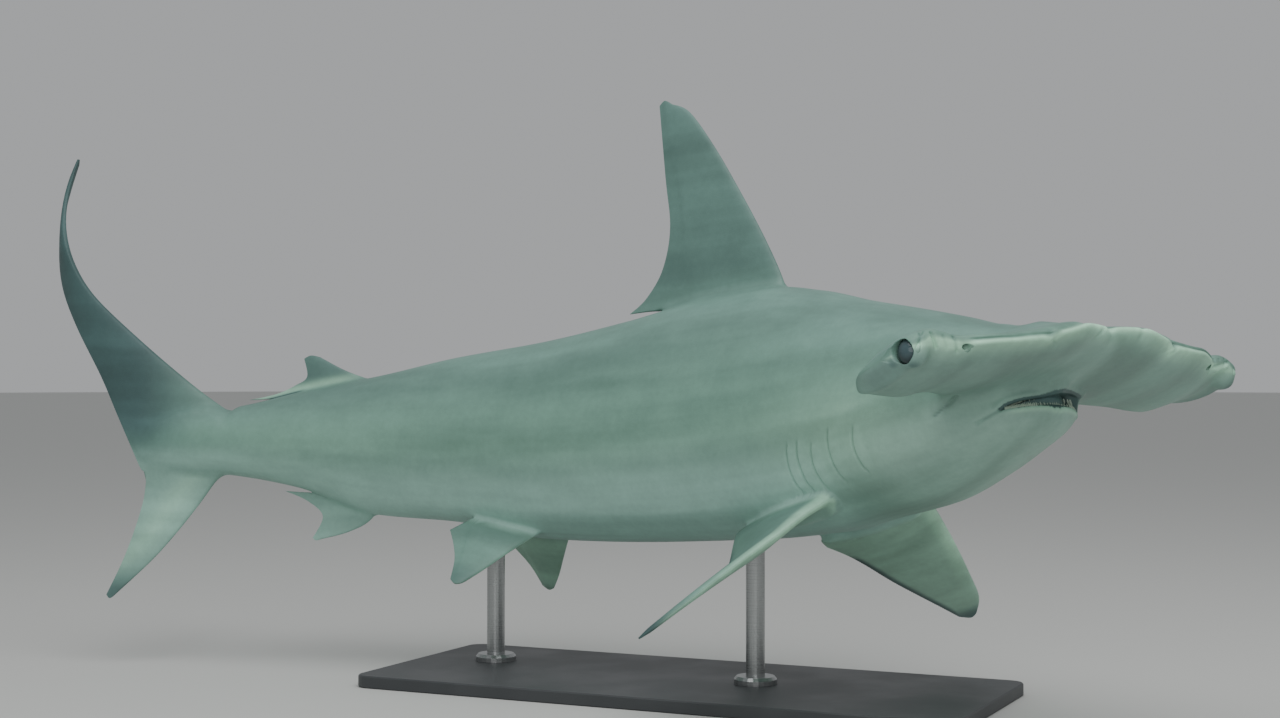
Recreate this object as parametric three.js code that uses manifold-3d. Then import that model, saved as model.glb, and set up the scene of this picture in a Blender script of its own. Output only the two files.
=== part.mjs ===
// A scalloped hammerhead shark, life size, as a still museum model on a two-rod stand.
// It swims towards +X with its back up (+Z) and its left side at +Y. The head turns to its
// own right and the upper tail lobe sweeps to its left. The origin is the centre of the
// underside of the stand's base. Body sizes are in percent of the total length: s is measured
// back from the snout along the spine, y to the left of it and z above it.
import * as THREE from "three";
import { LoftGeometry } from "three/addons/geometries/LoftGeometry.js";
import { mergeVertices } from "three/addons/utils/BufferGeometryUtils.js";
import Module from "manifold-3d";

const wasm = await Module();
wasm.setup();

// Driving dimensions
const totalLength = 2400; // mm, snout to the tip of the tail along the body
const percent = totalLength / 100; // mm in one percent of the length
const seam = 0.3; // mm, left between touching meshes
const gap = seam / percent; // the same in percent of the length
const spineHeight = 392; // mm, from the floor to the spine at the balance station
const spineShift = [-60, 45]; // mm, where the balance station stands over the base
const balanceStation = 38; // percent along the body

// How the spine bends: [s, degrees]
const headingStations = [
  [0, -30], [12, -30], [21, -25], [34, -11], [48, 2], [61, 14], [71, 20], [76, 21], [79, 18], [82, 11],
  [85.5, -13], [88.5, -47], [91, -70], [94, -82],
]; // to the left of +X
const pitchStations = [[0, 17.5], [12, 14.5], [30, 7], [50, 1], [72, -2], [94, -2]]; // nose up
const bankStations = [[0, 3.2], [14, 3.6], [30, 4.5], [60, 6], [72, 7], [94, 7]]; // left side down
const spineStep = 0.5;

// The trunk's sections: [s, top, bottom, half width, height of the widest place]
const trunkStations = [
  [5.7, -0.5, -3.0, 0.5, -1.8], [5.9, 0.7, -3.45, 1.35, -1.8], [6.35, 1.65, -3.85, 2.35, -1.8],
  [7.2, 2.3, -4.25, 3.35, -1.7], [9.2, 3.0, -4.8, 4.3, -1.3], [12, 4.25, -5.6, 4.9, -0.9],
  [16, 5.82, -6.4, 5.3, -0.8], [20, 7.2, -6.55, 5.7, -0.5], [24, 8.6, -6.9, 6.0, -0.2],
  [28, 9.4, -6.9, 6.1, 0.2], [34, 9.3, -6.75, 6.1, 0.4], [40, 8.5, -6.65, 5.8, 0.2], [47, 7.4, -6.4, 5.2, 0],
  [54, 6.4, -5.3, 4.3, 0], [60, 5.05, -4.95, 3.5, 0], [66, 3.75, -3.2, 2.6, 0], [70.5, 2.55, -2.55, 1.9, 0],
  [74, 2.0, -2.3, 1.2, -0.1], [77.2, 1.0, -1.6, 0.35, -0.3],
];
// Where each length of the trunk ends
const partings = { head: 13.5, gills: 24.5, torso: 42.5, abdomen: 58.5, stalk: 73.5 };
const finBeds = { shoulders: [18, 44], hips: [44, 58], stalk: [56, 74], tail: 60 }; // what the fins grow from
const trunkSides = 30;
const fullness = { back: 0.92, belly: 0.8, flank: 0.95 }; // powers of the ellipse: under 1 is fuller
const tailPit = { s: 71.4, depth: 0.35, length: 0.5 }; // the notch ahead of the upper tail lobe

// Gill slits: the skin rises to a flap ahead of each slit and drops behind it
const gills = {
  slits: [16.95, 19.0, 20.6, 21.7, 22.6], rise: 0.2, drop: 0.4, run: 0.9, lip: 0.06, recover: 0.5,
  top: -1.7, bottom: -4.4, fade: 0.4,
};

// The hammer: [y, leading edge s, trailing edge s, half thickness, height, fall towards the rear]
const hammerStations = [
  [0, 0.85, 11, 1.15, -0.32, 0.06], [1.3, 0.65, 11, 1.2, -0.25, 0.06], [2.7, 0.35, 11, 1.22, -0.35, 0.06],
  [4.0, 0.55, 10.6, 1.12, -0.58, 0.08], [4.9, 0.8, 9.8, 1.03, -0.75, 0.1], [6.0, 1.0, 9.0, 1.05, -0.92, 0.13],
  [7.6, 1.25, 8.3, 0.9, -1.08, 0.16], [9.2, 1.95, 7.9, 0.82, -1.12, 0.2], [10.1, 2.5, 7.9, 0.88, -0.98, 0.22],
  [10.7, 2.65, 8.0, 0.97, -0.8, 0.24], [11.4, 2.75, 8.25, 1.0, -0.66, 0.26], [12.1, 2.85, 8.3, 1.0, -0.8, 0.25],
  [12.7, 3.15, 7.8, 0.75, -0.87, 0.18], [13.0, 3.7, 7.2, 0.38, -0.88, 0.15],
];
// Where a wing's rear edge hangs lower or higher than that: [y, width, extra fall]
const hammerSags = [[9.0, 1.6, 0.08], [12.2, 1.8, -0.14], [-10.4, 1.3, 0.09], [-7.0, 1.5, -0.03]];
const brow = { rise: 1.8, span: [1.2, 7.5], width: 2.6 }; // the slope from the hammer up to the nape
const hammerFallsFrom = 4; // the station that the fall is measured from
const hammerSpans = 34;
const hammerSides = 18;
const hammerTaper = 0.45; // how much thinner the trailing edge is
const hammerCrowding = 1.25; // power that crowds the rings towards the hammer's ends

const mouth = {
  front: 4.9, corner: 7.15, back: 9.2, upperFront: -1.95, lowerFront: -2.77, cornerZ: -2.87, backZ: -3.5,
  bluntness: 1.6, closing: 4, // how round the jaws are in plan, and how fast they close at the front
};
const lips = { radius: 0.13, inset: 0.06, steps: 22 };
const teeth = { count: 20, height: 0.24, radius: 0.1, inset: 0.26, sides: 4, firstTurn: 0.12, small: 0.85 };
const tongue = { s: 7.7, z: -2.75, long: 1.6, wide: 1.8, tall: 0.42 };
const eye = { s: 3.85, y: 12.05, z: -1.0, radius: 0.76, lidRadius: 0.82, lid: 0.17, lidOut: 0.55 };
const lidOpening = { inner: 0.64, outer: 0.72, from: 0.2, to: 1.4 }; // a cone, out from the eye's middle
const nostril = { y: 9.5, z: -0.95, ahead: 0.12, long: 0.45, deep: 0.45, tall: 0.2 };

// A fin's section: its fullness, the powers of its round front, thin back and taper to the tip, how
// thin its very tip is, and the part of the chord that its edge takes to reach full thickness
const section = {
  full: 2.1, front: 0.5, rear: 1.3, taper: 1.4, tip: 0.3, closing: 8, edgeRun: 0.12, crowding: 1.5,
};

// Fins, each a patch between four edges in its own plane: [back along the body, out from the root]
const firstDorsal = {
  lead: [[27.0, 7.6], [27.6, 10], [29.0, 13], [30.9, 16.4], [33.0, 19.8], [35.1, 22.5], [36.7, 23.3]],
  trail: [[40.6, 9.0], [39.2, 10], [37.8, 11.9], [37.1, 14.7], [37.4, 18.2], [37.8, 23.3]],
  root: [[27.0, 7.6], [32, 7.8], [36.2, 8], [38, 9.0], [40.6, 9.0]],
  tip: [[36.7, 23.3], [37.3, 23.6], [37.8, 23.3]],
  thick: 0.8, thin: 0.22, edge: 0.05, rows: 12, columns: 7,
};
const secondDorsal = {
  lead: [[59.6, 4.3], [61.2, 4.8], [63.0, 5.4], [64.9, 6.3]],
  trail: [[70.0, 3.0], [68, 3.5], [66.6, 4.2], [65.8, 4.85], [66.1, 6.15]],
  root: [[59.6, 4.3], [63.5, 3.2], [67, 3.2], [70.0, 3.0]],
  tip: [[64.9, 6.3], [65.6, 6.4], [66.1, 6.15]],
  thick: 0.42, thin: 0.14, edge: 0.045, rows: 7, columns: 7,
};
const analFin = {
  lead: [[59.3, -3.4], [60.4, -5.3], [62.0, -6.25], [64.0, -6.85]],
  trail: [[66.9, -3.5], [65.2, -4.15], [64.0, -5.2], [64.65, -6.8]],
  root: [[59.3, -3.4], [62.2, -3], [64.4, -3.5], [66.9, -3.5]],
  tip: [[64.0, -6.85], [64.4, -6.95], [64.65, -6.8]],
  thick: 0.42, thin: 0.14, edge: 0.045, rows: 7, columns: 7,
};
const upperLobe = {
  lead: [[70.6, 1.6], [74, 3.75], [79.5, 7.9], [83.4, 11], [87.2, 14.7], [90.2, 17.8], [92.5, 20.6]],
  trail: [[77.4, -2.9], [79.6, 1.2], [81.5, 4.6], [84, 8.0], [87, 11.6], [89.8, 15.2], [92.9, 20.2]],
  root: [[70.6, 1.6], [73, 0], [75.5, -1.6], [77.4, -2.9]],
  tip: [[92.5, 20.6], [92.8, 20.6], [92.9, 20.2]],
  thick: 0.75, thin: 0.16, edge: 0.045, rows: 16, columns: 6,
};
const lowerLobe = {
  lead: [[70.6, -1.6], [71.9, -2.8], [73.1, -4.6], [74.6, -6.7], [76.3, -8.8], [78.9, -11.5]],
  trail: [[77.3, -2.6], [77.3, -4.4], [77.8, -6.7], [78.5, -9.0], [79.5, -11.5]],
  root: [[70.6, -1.6], [73, -1.2], [75.5, -1.3], [77.3, -2.6]],
  tip: [[78.9, -11.5], [79.25, -11.75], [79.5, -11.5]],
  thick: 0.6, thin: 0.16, edge: 0.045, rows: 8, columns: 6,
};
const lobeParting = [[68, -0.9], [75, -0.9], [77.3, -2.75], [80, -3.0]]; // between the tail's two lobes
const pectoral = {
  lead: [[-0.4, -1.6], [0.4, 1.4], [1.5, 5.0], [2.7, 8.6], [3.7, 11.3], [4.9, 12.9]],
  trail: [[8.35, 0.2], [7.9, 1.9], [7.65, 3.7], [7.4, 6.4], [6.95, 9.0], [6.5, 11.2], [6.2, 12.7]],
  root: [[-0.4, -1.6], [2.6, -1.8], [5.4, -1.8], [7.7, -1.3], [8.35, 0.2]],
  tip: [[4.9, 12.9], [5.55, 13.2], [6.2, 12.7]],
  thick: 0.7, thin: 0.17, edge: 0.05, rows: 12, columns: 8,
};
const pelvic = {
  lead: [[-0.8, -1.2], [0.9, 1.8], [2.1, 4.0], [3.0, 5.4]],
  trail: [[5.8, 0.9], [5.0, 2.2], [4.35, 3.6], [3.95, 5.3]],
  root: [[-0.8, -1.2], [1.8, -1.4], [4.0, -1.3], [4.8, -0.3], [5.8, 0.9]],
  tip: [[3.0, 5.4], [3.5, 5.6], [3.95, 5.3]],
  thick: 0.45, thin: 0.16, edge: 0.045, rows: 7, columns: 7,
};
// Where a paired fin leaves the belly, how far its tip curls down and the span that its twist takes;
// in degrees on each side, how far it hangs below level, how far its leading edge is raised at the
// root and how much more at the tip, and how far it is swept back
const pectoralRoot = {
  s: 20.65, y: 4.7, z: -5.5, curl: 0.5, twistedBy: 3.8,
  left: { droop: 20, raised: 16, twist: 0, swept: 9 },
  right: { droop: 25, raised: 6, twist: 12, swept: 0 },
};
const pelvicRoot = {
  s: 46.8, y: 2.7, z: -6.2, curl: 0.2, twistedBy: 5,
  left: { droop: 46, raised: -8, twist: 0, swept: 0 },
  right: { droop: 41, raised: -12, twist: 0, swept: 0 },
};

// The stand, in mm
const base = { length: 1000, width: 400, thickness: 20, corner: 24, bevel: 2 };
const rod = { radius: 15, stations: [31, 51], sunk: 24 };
const collar = { radius: 34, height: 12, straight: 7.2, shoulder: 4 };

// Smooth curve through [x, value] stations that never overshoots them
function through(stations) {
  const x = stations.map((p) => p[0]);
  const y = stations.map((p) => p[1]);
  const last = x.length - 1;
  const slope = x.slice(1).map((v, i) => (y[i + 1] - y[i]) / (v - x[i]));
  const tangent = x.map((_, i) => {
    if (i === 0) return slope[0];
    if (i === last) return slope[last - 1];
    if (slope[i - 1] * slope[i] <= 0) return 0;
    return (2 * slope[i - 1] * slope[i]) / (slope[i - 1] + slope[i]);
  });
  return (at) => {
    const held = Math.min(Math.max(at, x[0]), x[last]);
    let i = 0;
    while (i < last - 1 && held > x[i + 1]) i += 1;
    const span = x[i + 1] - x[i];
    const u = (held - x[i]) / span;
    const rising = y[i] * (1 + 2 * u) * (1 - u) ** 2 + y[i + 1] * u * u * (3 - 2 * u);
    return rising + tangent[i] * span * u * (1 - u) ** 2 + tangent[i + 1] * span * u * u * (u - 1);
  };
}

const columnOf = (stations, k) => through(stations.map((row) => [row[0], row[k]]));
const between = (from, to, share) => from + (to - from) * share;
const spread = (from, to, count) =>
  Array.from({ length: count + 1 }, (_, i) => between(from, to, i / count));

// The spine as frames: a place, and the directions forward, left and up
const headingAt = through(headingStations);
const pitchAt = through(pitchStations);
const bankAt = through(bankStations);

function directionsAt(s) {
  const [heading, pitch, bank] = [headingAt(s), pitchAt(s), bankAt(s)].map(THREE.MathUtils.degToRad);
  const forward = new THREE.Vector3(Math.cos(heading), Math.sin(heading), 0).multiplyScalar(Math.cos(pitch));
  forward.z = Math.sin(pitch);
  const level = new THREE.Vector3(-Math.sin(heading), Math.cos(heading), 0);
  const left = level.clone().applyAxisAngle(forward, -bank);
  return { forward, left, up: new THREE.Vector3().crossVectors(forward, left) };
}

const spine = [new THREE.Vector3()];
for (let s = 0; s < 100; s += spineStep) {
  const { forward } = directionsAt(s + spineStep / 2);
  spine.push(spine[spine.length - 1].clone().addScaledVector(forward, -spineStep * percent));
}
const balance = spine[balanceStation / spineStep];
const spineMove = new THREE.Vector3(...spineShift, spineHeight).sub(balance);

function spineAt(s) {
  const k = Math.min(Math.max(s / spineStep, 0), spine.length - 1.001);
  const i = Math.floor(k);
  return spine[i].clone().lerp(spine[i + 1], k - i).add(spineMove);
}

// A point of the body in the part's frame, in mm
function place(s, y, z) {
  const { left, up } = directionsAt(s);
  return spineAt(s).addScaledVector(left, y * percent).addScaledVector(up, z * percent);
}

// Solids, and their joins and cuts
function solid(geometry) {
  const bare = new THREE.BufferGeometry();
  bare.setIndex(geometry.index);
  bare.setAttribute("position", geometry.attributes.position);
  const merged = mergeVertices(bare, 1e-3);
  const corners = merged.index.array;
  const faces = [];
  for (let i = 0; i < corners.length; i += 3) {
    const [a, b, c] = corners.slice(i, i + 3);
    if (a !== b && b !== c && c !== a) faces.push(a, b, c);
  }
  const vertProperties = new Float32Array(merged.attributes.position.array);
  const made = (triVerts) => new wasm.Manifold(new wasm.Mesh({ numProp: 3, vertProperties, triVerts }));
  const facing = made(Uint32Array.from(faces));
  return facing.volume() > 0 ? facing : made(Uint32Array.from(faces).reverse());
}

const join = (...solids) => solids.reduce((whole, next) => whole.add(next));
const cut = (from, ...tools) => tools.reduce((whole, tool) => whole.subtract(tool), from);

// A geometry drawn in [s, y, z], carried onto the bent body
function onBody(geometry) {
  const positions = geometry.attributes.position;
  for (let i = 0; i < positions.count; i += 1) {
    positions.setXYZ(i, ...place(positions.getX(i), positions.getY(i), positions.getZ(i)));
  }
  return solid(geometry);
}

// A closed solid between two grids of points, split into triangles alike on both faces
function betweenFaces(near, far) {
  const rows = near.length;
  const columns = near[0].length;
  const corner = (side, i, j) => (side * rows + i) * columns + j;
  const faces = [];
  for (let i = 0; i < rows - 1; i += 1) {
    for (let j = 0; j < columns - 1; j += 1) {
      const [a, b] = [corner(0, i, j), corner(0, i, j + 1)];
      const [c, d] = [corner(0, i + 1, j + 1), corner(0, i + 1, j)];
      const under = rows * columns;
      faces.push(a, b, d, b, c, d);
      faces.push(a + under, d + under, b + under, b + under, d + under, c + under);
    }
  }
  const wall = (a, b) => faces.push(b, a, a + rows * columns, b, a + rows * columns, b + rows * columns);
  for (let j = 0; j < columns - 1; j += 1) {
    wall(corner(0, 0, j), corner(0, 0, j + 1));
    wall(corner(0, rows - 1, j + 1), corner(0, rows - 1, j));
  }
  for (let i = 0; i < rows - 1; i += 1) {
    wall(corner(0, i + 1, 0), corner(0, i, 0));
    wall(corner(0, i, columns - 1), corner(0, i + 1, columns - 1));
  }
  const points = [...near.flat(), ...far.flat()].flatMap((p) => p.toArray());
  const geometry = new THREE.BufferGeometry().setIndex(faces);
  return solid(geometry.setAttribute("position", new THREE.Float32BufferAttribute(points, 3)));
}

const cutting = { floor: -20, jawHalfWidth: 8, tailHalfWidth: 4 };

// Everything below a line drawn in [s, z], as a block for cutting
function below(line, halfWidth) {
  const face = (y) => [line.map(([s, z]) => place(s, y, z)), line.map(([s]) => place(s, y, cutting.floor))];
  return betweenFaces(face(halfWidth), face(-halfWidth));
}

// The trunk
const trunkTop = columnOf(trunkStations, 1);
const trunkBottom = columnOf(trunkStations, 2);
const trunkHalfWidth = columnOf(trunkStations, 3);
const trunkWaist = columnOf(trunkStations, 4);
const smooth = (from, to, at) => THREE.MathUtils.smoothstep(at, from, to);
const bump = (at, middle, width) => Math.exp(-(((at - middle) / width) ** 2));

function gillRelief(s, z) {
  const { slits, rise, drop, run, recover, top, bottom, fade } = gills;
  const window = smooth(bottom - fade, bottom, z) * (1 - smooth(top, top + fade, z));
  let relief = 0;
  for (const slit of slits) {
    if (s <= slit && s > slit - run) relief += rise * smooth(slit - run, slit, s);
    if (s > slit && s < slit + recover) relief -= drop * (1 - smooth(slit, slit + recover, s));
  }
  return relief * window;
}

function trunkPoint(s, turn, grow) {
  const angle = turn * 2 * Math.PI; // from the right side over the back
  const [side, height] = [-Math.cos(angle), Math.sin(angle)];
  const pit = tailPit.depth * bump(s, tailPit.s, tailPit.length);
  const waist = trunkWaist(s);
  const reach = height > 0 ? trunkTop(s) - waist - pit : waist - trunkBottom(s);
  const power = height > 0 ? fullness.back : fullness.belly;
  const z = waist + Math.sign(height) * Math.abs(height) ** power * (reach + grow);
  const halfWidth = trunkHalfWidth(s) + grow + gillRelief(s, z);
  return place(s, Math.sign(side) * Math.abs(side) ** fullness.flank * halfWidth, z);
}

const gillRings = gills.slits.flatMap((s) => [s - gills.run / 2, s, s + gills.lip, s + gills.recover / 2]);
const ringStations = [
  5.75, 5.9, 6.1, 6.5, 7.2, 8, mouth.back, 10.6, 12, ...Object.values(partings), 14.4, 15.2, ...gillRings,
  23.6, ...spread(26, 41, 8), ...spread(44.5, 57, 6), ...spread(60, 72.4, 8), 74.4, 75.6, 76.6, 77.2,
].sort((a, b) => a - b);

function trunkBetween(from, to, grow = 0) {
  const stations = [from, ...ringStations.filter((s) => s > from + gap && s < to - gap), to];
  const turns = spread(0, 1, trunkSides).slice(0, -1);
  const rings = stations.map((s) => turns.map((turn) => trunkPoint(s, turn, grow)));
  return solid(new LoftGeometry(rings, { capStart: true, capEnd: true }));
}

// The hammer
const hammerLead = columnOf(hammerStations, 1);
const hammerTrail = columnOf(hammerStations, 2);
const hammerHalf = columnOf(hammerStations, 3);
const hammerHeight = columnOf(hammerStations, 4);
const hammerFall = columnOf(hammerStations, 5);

function hammerPoint(y, turn) {
  const angle = turn * 2 * Math.PI; // from the trailing edge over the top
  const back = (1 + Math.cos(angle)) / 2; // 0 at the leading edge
  const out = Math.abs(y);
  const s = THREE.MathUtils.lerp(hammerLead(out), hammerTrail(out), back);
  const half = hammerHalf(out) * (1 - hammerTaper * back * back);
  const fall = hammerSags.reduce((sum, [at, width, extra]) => sum + extra * bump(y, at, width), hammerFall(out));
  const rise = brow.rise * smooth(...brow.span, s) * bump(y, 0, brow.width) * Math.max(Math.sin(angle), 0);
  const middle = hammerHeight(out) - fall * (s - hammerFallsFrom);
  return [s, y, middle + Math.sin(angle) * half + rise];
}

function hammerSolid() {
  const tip = hammerStations[hammerStations.length - 1][0];
  const crowded = (u) => Math.sign(u) * (1 - (1 - Math.abs(u)) ** hammerCrowding);
  const across = spread(-1, 1, hammerSpans).map((u) => tip * crowded(u));
  const turns = spread(0, 1, hammerSides).slice(0, -1);
  const rings = across.map((y) => turns.map((turn) => place(...hammerPoint(y, turn))));
  return solid(new LoftGeometry(rings, { capStart: true, capEnd: true }));
}

// The mouth. Its edge follows the outline of the jaws at a given height
function jawHalfWidth(s, z) {
  const down = Math.min(((trunkWaist(s) - z) / (trunkWaist(s) - trunkBottom(s))) ** (1 / fullness.belly), 1);
  return trunkHalfWidth(s) * Math.sqrt(1 - down * down) ** fullness.flank;
}

function mouthEdge(frontZ, inset, turn) {
  const reach = Math.abs(Math.cos(turn)); // 1 at the corners of the mouth
  const s = THREE.MathUtils.lerp(ringStations[0] + inset, mouth.corner, reach ** mouth.bluntness);
  const z = THREE.MathUtils.mapLinear(s, mouth.front, mouth.corner, frontZ, mouth.cornerZ);
  const halfWidth = Math.max(jawHalfWidth(s, z) - inset, 0) * Math.min(1, reach * mouth.closing);
  return [s, Math.sign(Math.cos(turn)) * halfWidth, z];
}

function lipSolid(frontZ) {
  const path = spread(0, Math.PI, lips.steps).map((turn) => place(...mouthEdge(frontZ, lips.inset, turn)));
  const round = new THREE.Shape().absarc(0, 0, lips.radius * percent, 0, 2 * Math.PI);
  const extrudePath = new THREE.CatmullRomCurve3(path);
  return solid(new THREE.ExtrudeGeometry(round, { steps: lips.steps, extrudePath, curveSegments: 3 }));
}

function toothRow(frontZ, way) {
  const row = spread(teeth.firstTurn, Math.PI - teeth.firstTurn, teeth.count - 1).map((turn, i) => {
    const [s, y, z] = mouthEdge(frontZ, teeth.inset, turn);
    const height = teeth.height * (i % 2 ? teeth.small : 1);
    const tooth = new THREE.ConeGeometry(teeth.radius, height + teeth.radius, teeth.sides);
    tooth.rotateX(way * Math.PI / 2).translate(s, y, z + way * (height / 2 - teeth.radius));
    return onBody(tooth);
  });
  return join(...row);
}

function tongueSolid() {
  const shape = new THREE.SphereGeometry(1, 12, 8).scale(tongue.long, tongue.wide, tongue.tall);
  return onBody(shape.translate(tongue.s, 0, tongue.z));
}

// Eyes, lids and nostrils
function ball(side, grow = 0) {
  const shape = new THREE.SphereGeometry(eye.radius + grow, 14, 9);
  return onBody(shape.translate(eye.s, side * eye.y, eye.z));
}

function lidRing(side) {
  const ring = new THREE.TorusGeometry(eye.lidRadius, eye.lid, 6, 18);
  return onBody(ring.rotateX(Math.PI / 2).translate(eye.s, side * (eye.y + eye.lidOut), eye.z));
}

function lidCut(side) {
  const { inner, outer, from, to } = lidOpening;
  const cone = new THREE.CylinderGeometry(outer, inner, to - from, 18).rotateX(side > 0 ? 0 : Math.PI);
  return onBody(cone.translate(eye.s, side * (eye.y + (from + to) / 2), eye.z));
}

function nostrilCut(side) {
  const slot = new THREE.SphereGeometry(1, 10, 6).scale(nostril.deep, nostril.long, nostril.tall);
  return onBody(slot.translate(hammerLead(nostril.y) + nostril.ahead, side * nostril.y, nostril.z));
}

// Fins
const edgeCurve = (points) => new THREE.SplineCurve(points.map((p) => new THREE.Vector2(...p)));

function finPoint(fin, back, out) {
  const [lead, trail, root, tip] = [fin.lead, fin.trail, fin.root, fin.tip].map(edgeCurve);
  const [front, inner] = [1 - back, 1 - out];
  const point = root.getPoint(back).multiplyScalar(inner).addScaledVector(tip.getPoint(back), out);
  point.addScaledVector(lead.getPoint(out), front).addScaledVector(trail.getPoint(out), back);
  point.addScaledVector(root.getPoint(0), -front * inner).addScaledVector(root.getPoint(1), -back * inner);
  return point.addScaledVector(tip.getPoint(0), -front * out).addScaledVector(tip.getPoint(1), -back * out);
}

// Half thickness: round ahead, thickest a quarter of the way back, thin behind and at the tip
function finHalf(fin, back, out) {
  const profile = section.full * back ** section.front * (1 - back) ** section.rear;
  const taper = fin.thin + (fin.thick - fin.thin) * (1 - out) ** section.taper;
  const tip = Math.min(1, section.tip + section.closing * (1 - out));
  return taper * profile * tip + fin.edge * Math.min(1, back / section.edgeRun);
}

function finSolid(fin, put) {
  const across = spread(0, 1, fin.columns).map((u) => u ** section.crowding);
  const face = (side) => spread(0, 1, fin.rows).map((out) => across.map((back) => {
    const { x, y } = finPoint(fin, back, out);
    return put(x, y, side * finHalf(fin, back, out));
  }));
  return betweenFaces(face(1), face(-1));
}

const medianFin = (fin) => finSolid(fin, (s, z, y) => place(s, y, z));

// A paired fin stands in the frame of the spine at its root, and twists nose up over its span
function pairedFin(fin, root, side) {
  const sign = side === "left" ? 1 : -1;
  const { forward, left, up } = directionsAt(root.s);
  const { droop, raised, twist, swept } = root[side];
  const [down, sweep] = [droop, swept].map(THREE.MathUtils.degToRad);
  const origin = place(root.s, sign * root.y, root.z);
  const out = left.clone().multiplyScalar(sign * Math.cos(down)).addScaledVector(up, -Math.sin(down));
  const flat = left.clone().multiplyScalar(sign * Math.sin(down)).addScaledVector(up, Math.cos(down));
  const reach = fin.tip[1][1];
  return finSolid(fin, (x, y, z) => {
    const lift = z - root.curl * Math.max(y / reach, 0) ** 2;
    const behind = x * Math.cos(sweep) + y * Math.sin(sweep);
    const span = y * Math.cos(sweep) - x * Math.sin(sweep);
    const tilt = THREE.MathUtils.degToRad(raised + twist * smooth(0, root.twistedBy, y));
    const along = -behind * Math.cos(tilt) - lift * Math.sin(tilt);
    const above = lift * Math.cos(tilt) - behind * Math.sin(tilt);
    const at = origin.clone().addScaledVector(forward, along * percent).addScaledVector(out, span * percent);
    return at.addScaledVector(flat, above * percent);
  });
}

// The stand
function rodAt(station, grow = 0) {
  const foot = place(station, 0, trunkBottom(station));
  const low = base.thickness + seam - grow;
  const top = foot.z + rod.sunk + grow;
  const shape = new THREE.CylinderGeometry(rod.radius + grow, rod.radius + grow, top - low, 24);
  return solid(shape.rotateX(Math.PI / 2).translate(foot.x, foot.y, (top + low) / 2));
}

function collarAt(station) {
  const foot = place(station, 0, trunkBottom(station));
  const profile = [
    [rod.radius + seam, 0], [collar.radius, 0], [collar.radius, collar.straight],
    [collar.radius - collar.shoulder, collar.height], [rod.radius + seam, collar.height],
    [rod.radius + seam, 0],
  ].map((point) => new THREE.Vector2(...point));
  const shape = new THREE.LatheGeometry(profile, 24).rotateX(Math.PI / 2);
  return solid(shape.translate(foot.x, foot.y, base.thickness + seam));
}

function baseSolid() {
  const { length, width, thickness, corner, bevel } = base;
  const [x, y] = [length / 2 - bevel, width / 2 - bevel];
  const outline = new THREE.Shape();
  outline.absarc(x - corner, y - corner, corner, 0, Math.PI / 2);
  outline.absarc(corner - x, y - corner, corner, Math.PI / 2, Math.PI);
  outline.absarc(corner - x, corner - y, corner, Math.PI, 1.5 * Math.PI);
  outline.absarc(x - corner, corner - y, corner, 1.5 * Math.PI, 2 * Math.PI);
  const rounding = { bevelThickness: bevel, bevelSize: bevel, bevelSegments: 1, curveSegments: 5 };
  const plate = new THREE.ExtrudeGeometry(outline, { depth: thickness - 2 * bevel, ...rounding });
  return solid(plate.translate(0, 0, bevel));
}

// The nodes
const shark = new THREE.Group();
const hide = new THREE.MeshStandardMaterial({ color: 0x7f9186, roughness: 0.6 });
const cornea = new THREE.MeshStandardMaterial({ color: 0x1d2422, roughness: 0.12 });
const paintedSteel = new THREE.MeshStandardMaterial({ color: 0x3a3d3f, roughness: 0.45, metalness: 0.2 });
const brushedSteel = new THREE.MeshStandardMaterial({ color: 0xb4b6b6, roughness: 0.35, metalness: 1 });

function add(name, made, look) {
  const [whole] = made.decompose().sort((a, b) => b.volume() - a.volume());
  const { vertProperties, triVerts } = whole.getMesh();
  const geometry = new THREE.BufferGeometry();
  geometry.setAttribute("position", new THREE.BufferAttribute(new Float32Array(vertProperties), 3));
  geometry.setIndex(new THREE.BufferAttribute(new Uint32Array(triVerts), 1));
  geometry.computeVertexNormals();
  const node = new THREE.Mesh(geometry, look);
  node.name = name;
  shark.add(node);
}

const { front, corner, back, upperFront, lowerFront, cornerZ, backZ } = mouth;
const jawLine = (frontZ, lift) =>
  below([[front, frontZ], [corner, cornerZ + lift], [back + lift, backZ + lift]], cutting.jawHalfWidth);
const middle = (upperFront + lowerFront) / 2;
const jaws = trunkBetween(trunkStations[0][0], partings.head);
const upperJaw = cut(jaws, jawLine(upperFront, gap));
const lowerJaw = jaws.intersect(jawLine(lowerFront, 0));
const upperMouth = join(upperJaw, lipSolid(upperFront), toothRow(upperFront, -1));
const lowerMouth = join(lowerJaw, lipSolid(lowerFront), toothRow(lowerFront, 1), tongueSolid());
const skull = join(hammerSolid(), cut(upperMouth, jawLine(middle, gap)), lidRing(1), lidRing(-1));
const openings = [1, -1].flatMap((side) => [ball(side, gap), lidCut(side), nostrilCut(side)]);
add("head", cut(skull, ...openings), hide);
add("lower_jaw", lowerMouth.intersect(jawLine(middle, 0)), hide);
add("eye_left", ball(1), cornea);
add("eye_right", ball(-1), cornea);

const rods = rod.stations.map((station) => rodAt(station, seam));
add("gill_region", trunkBetween(partings.head + gap, partings.gills), hide);
add("torso", cut(trunkBetween(partings.gills + gap, partings.torso), ...rods), hide);
add("abdomen", cut(trunkBetween(partings.torso + gap, partings.abdomen), ...rods), hide);
add("tail_stalk", trunkBetween(partings.abdomen + gap, partings.stalk), hide);

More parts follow.
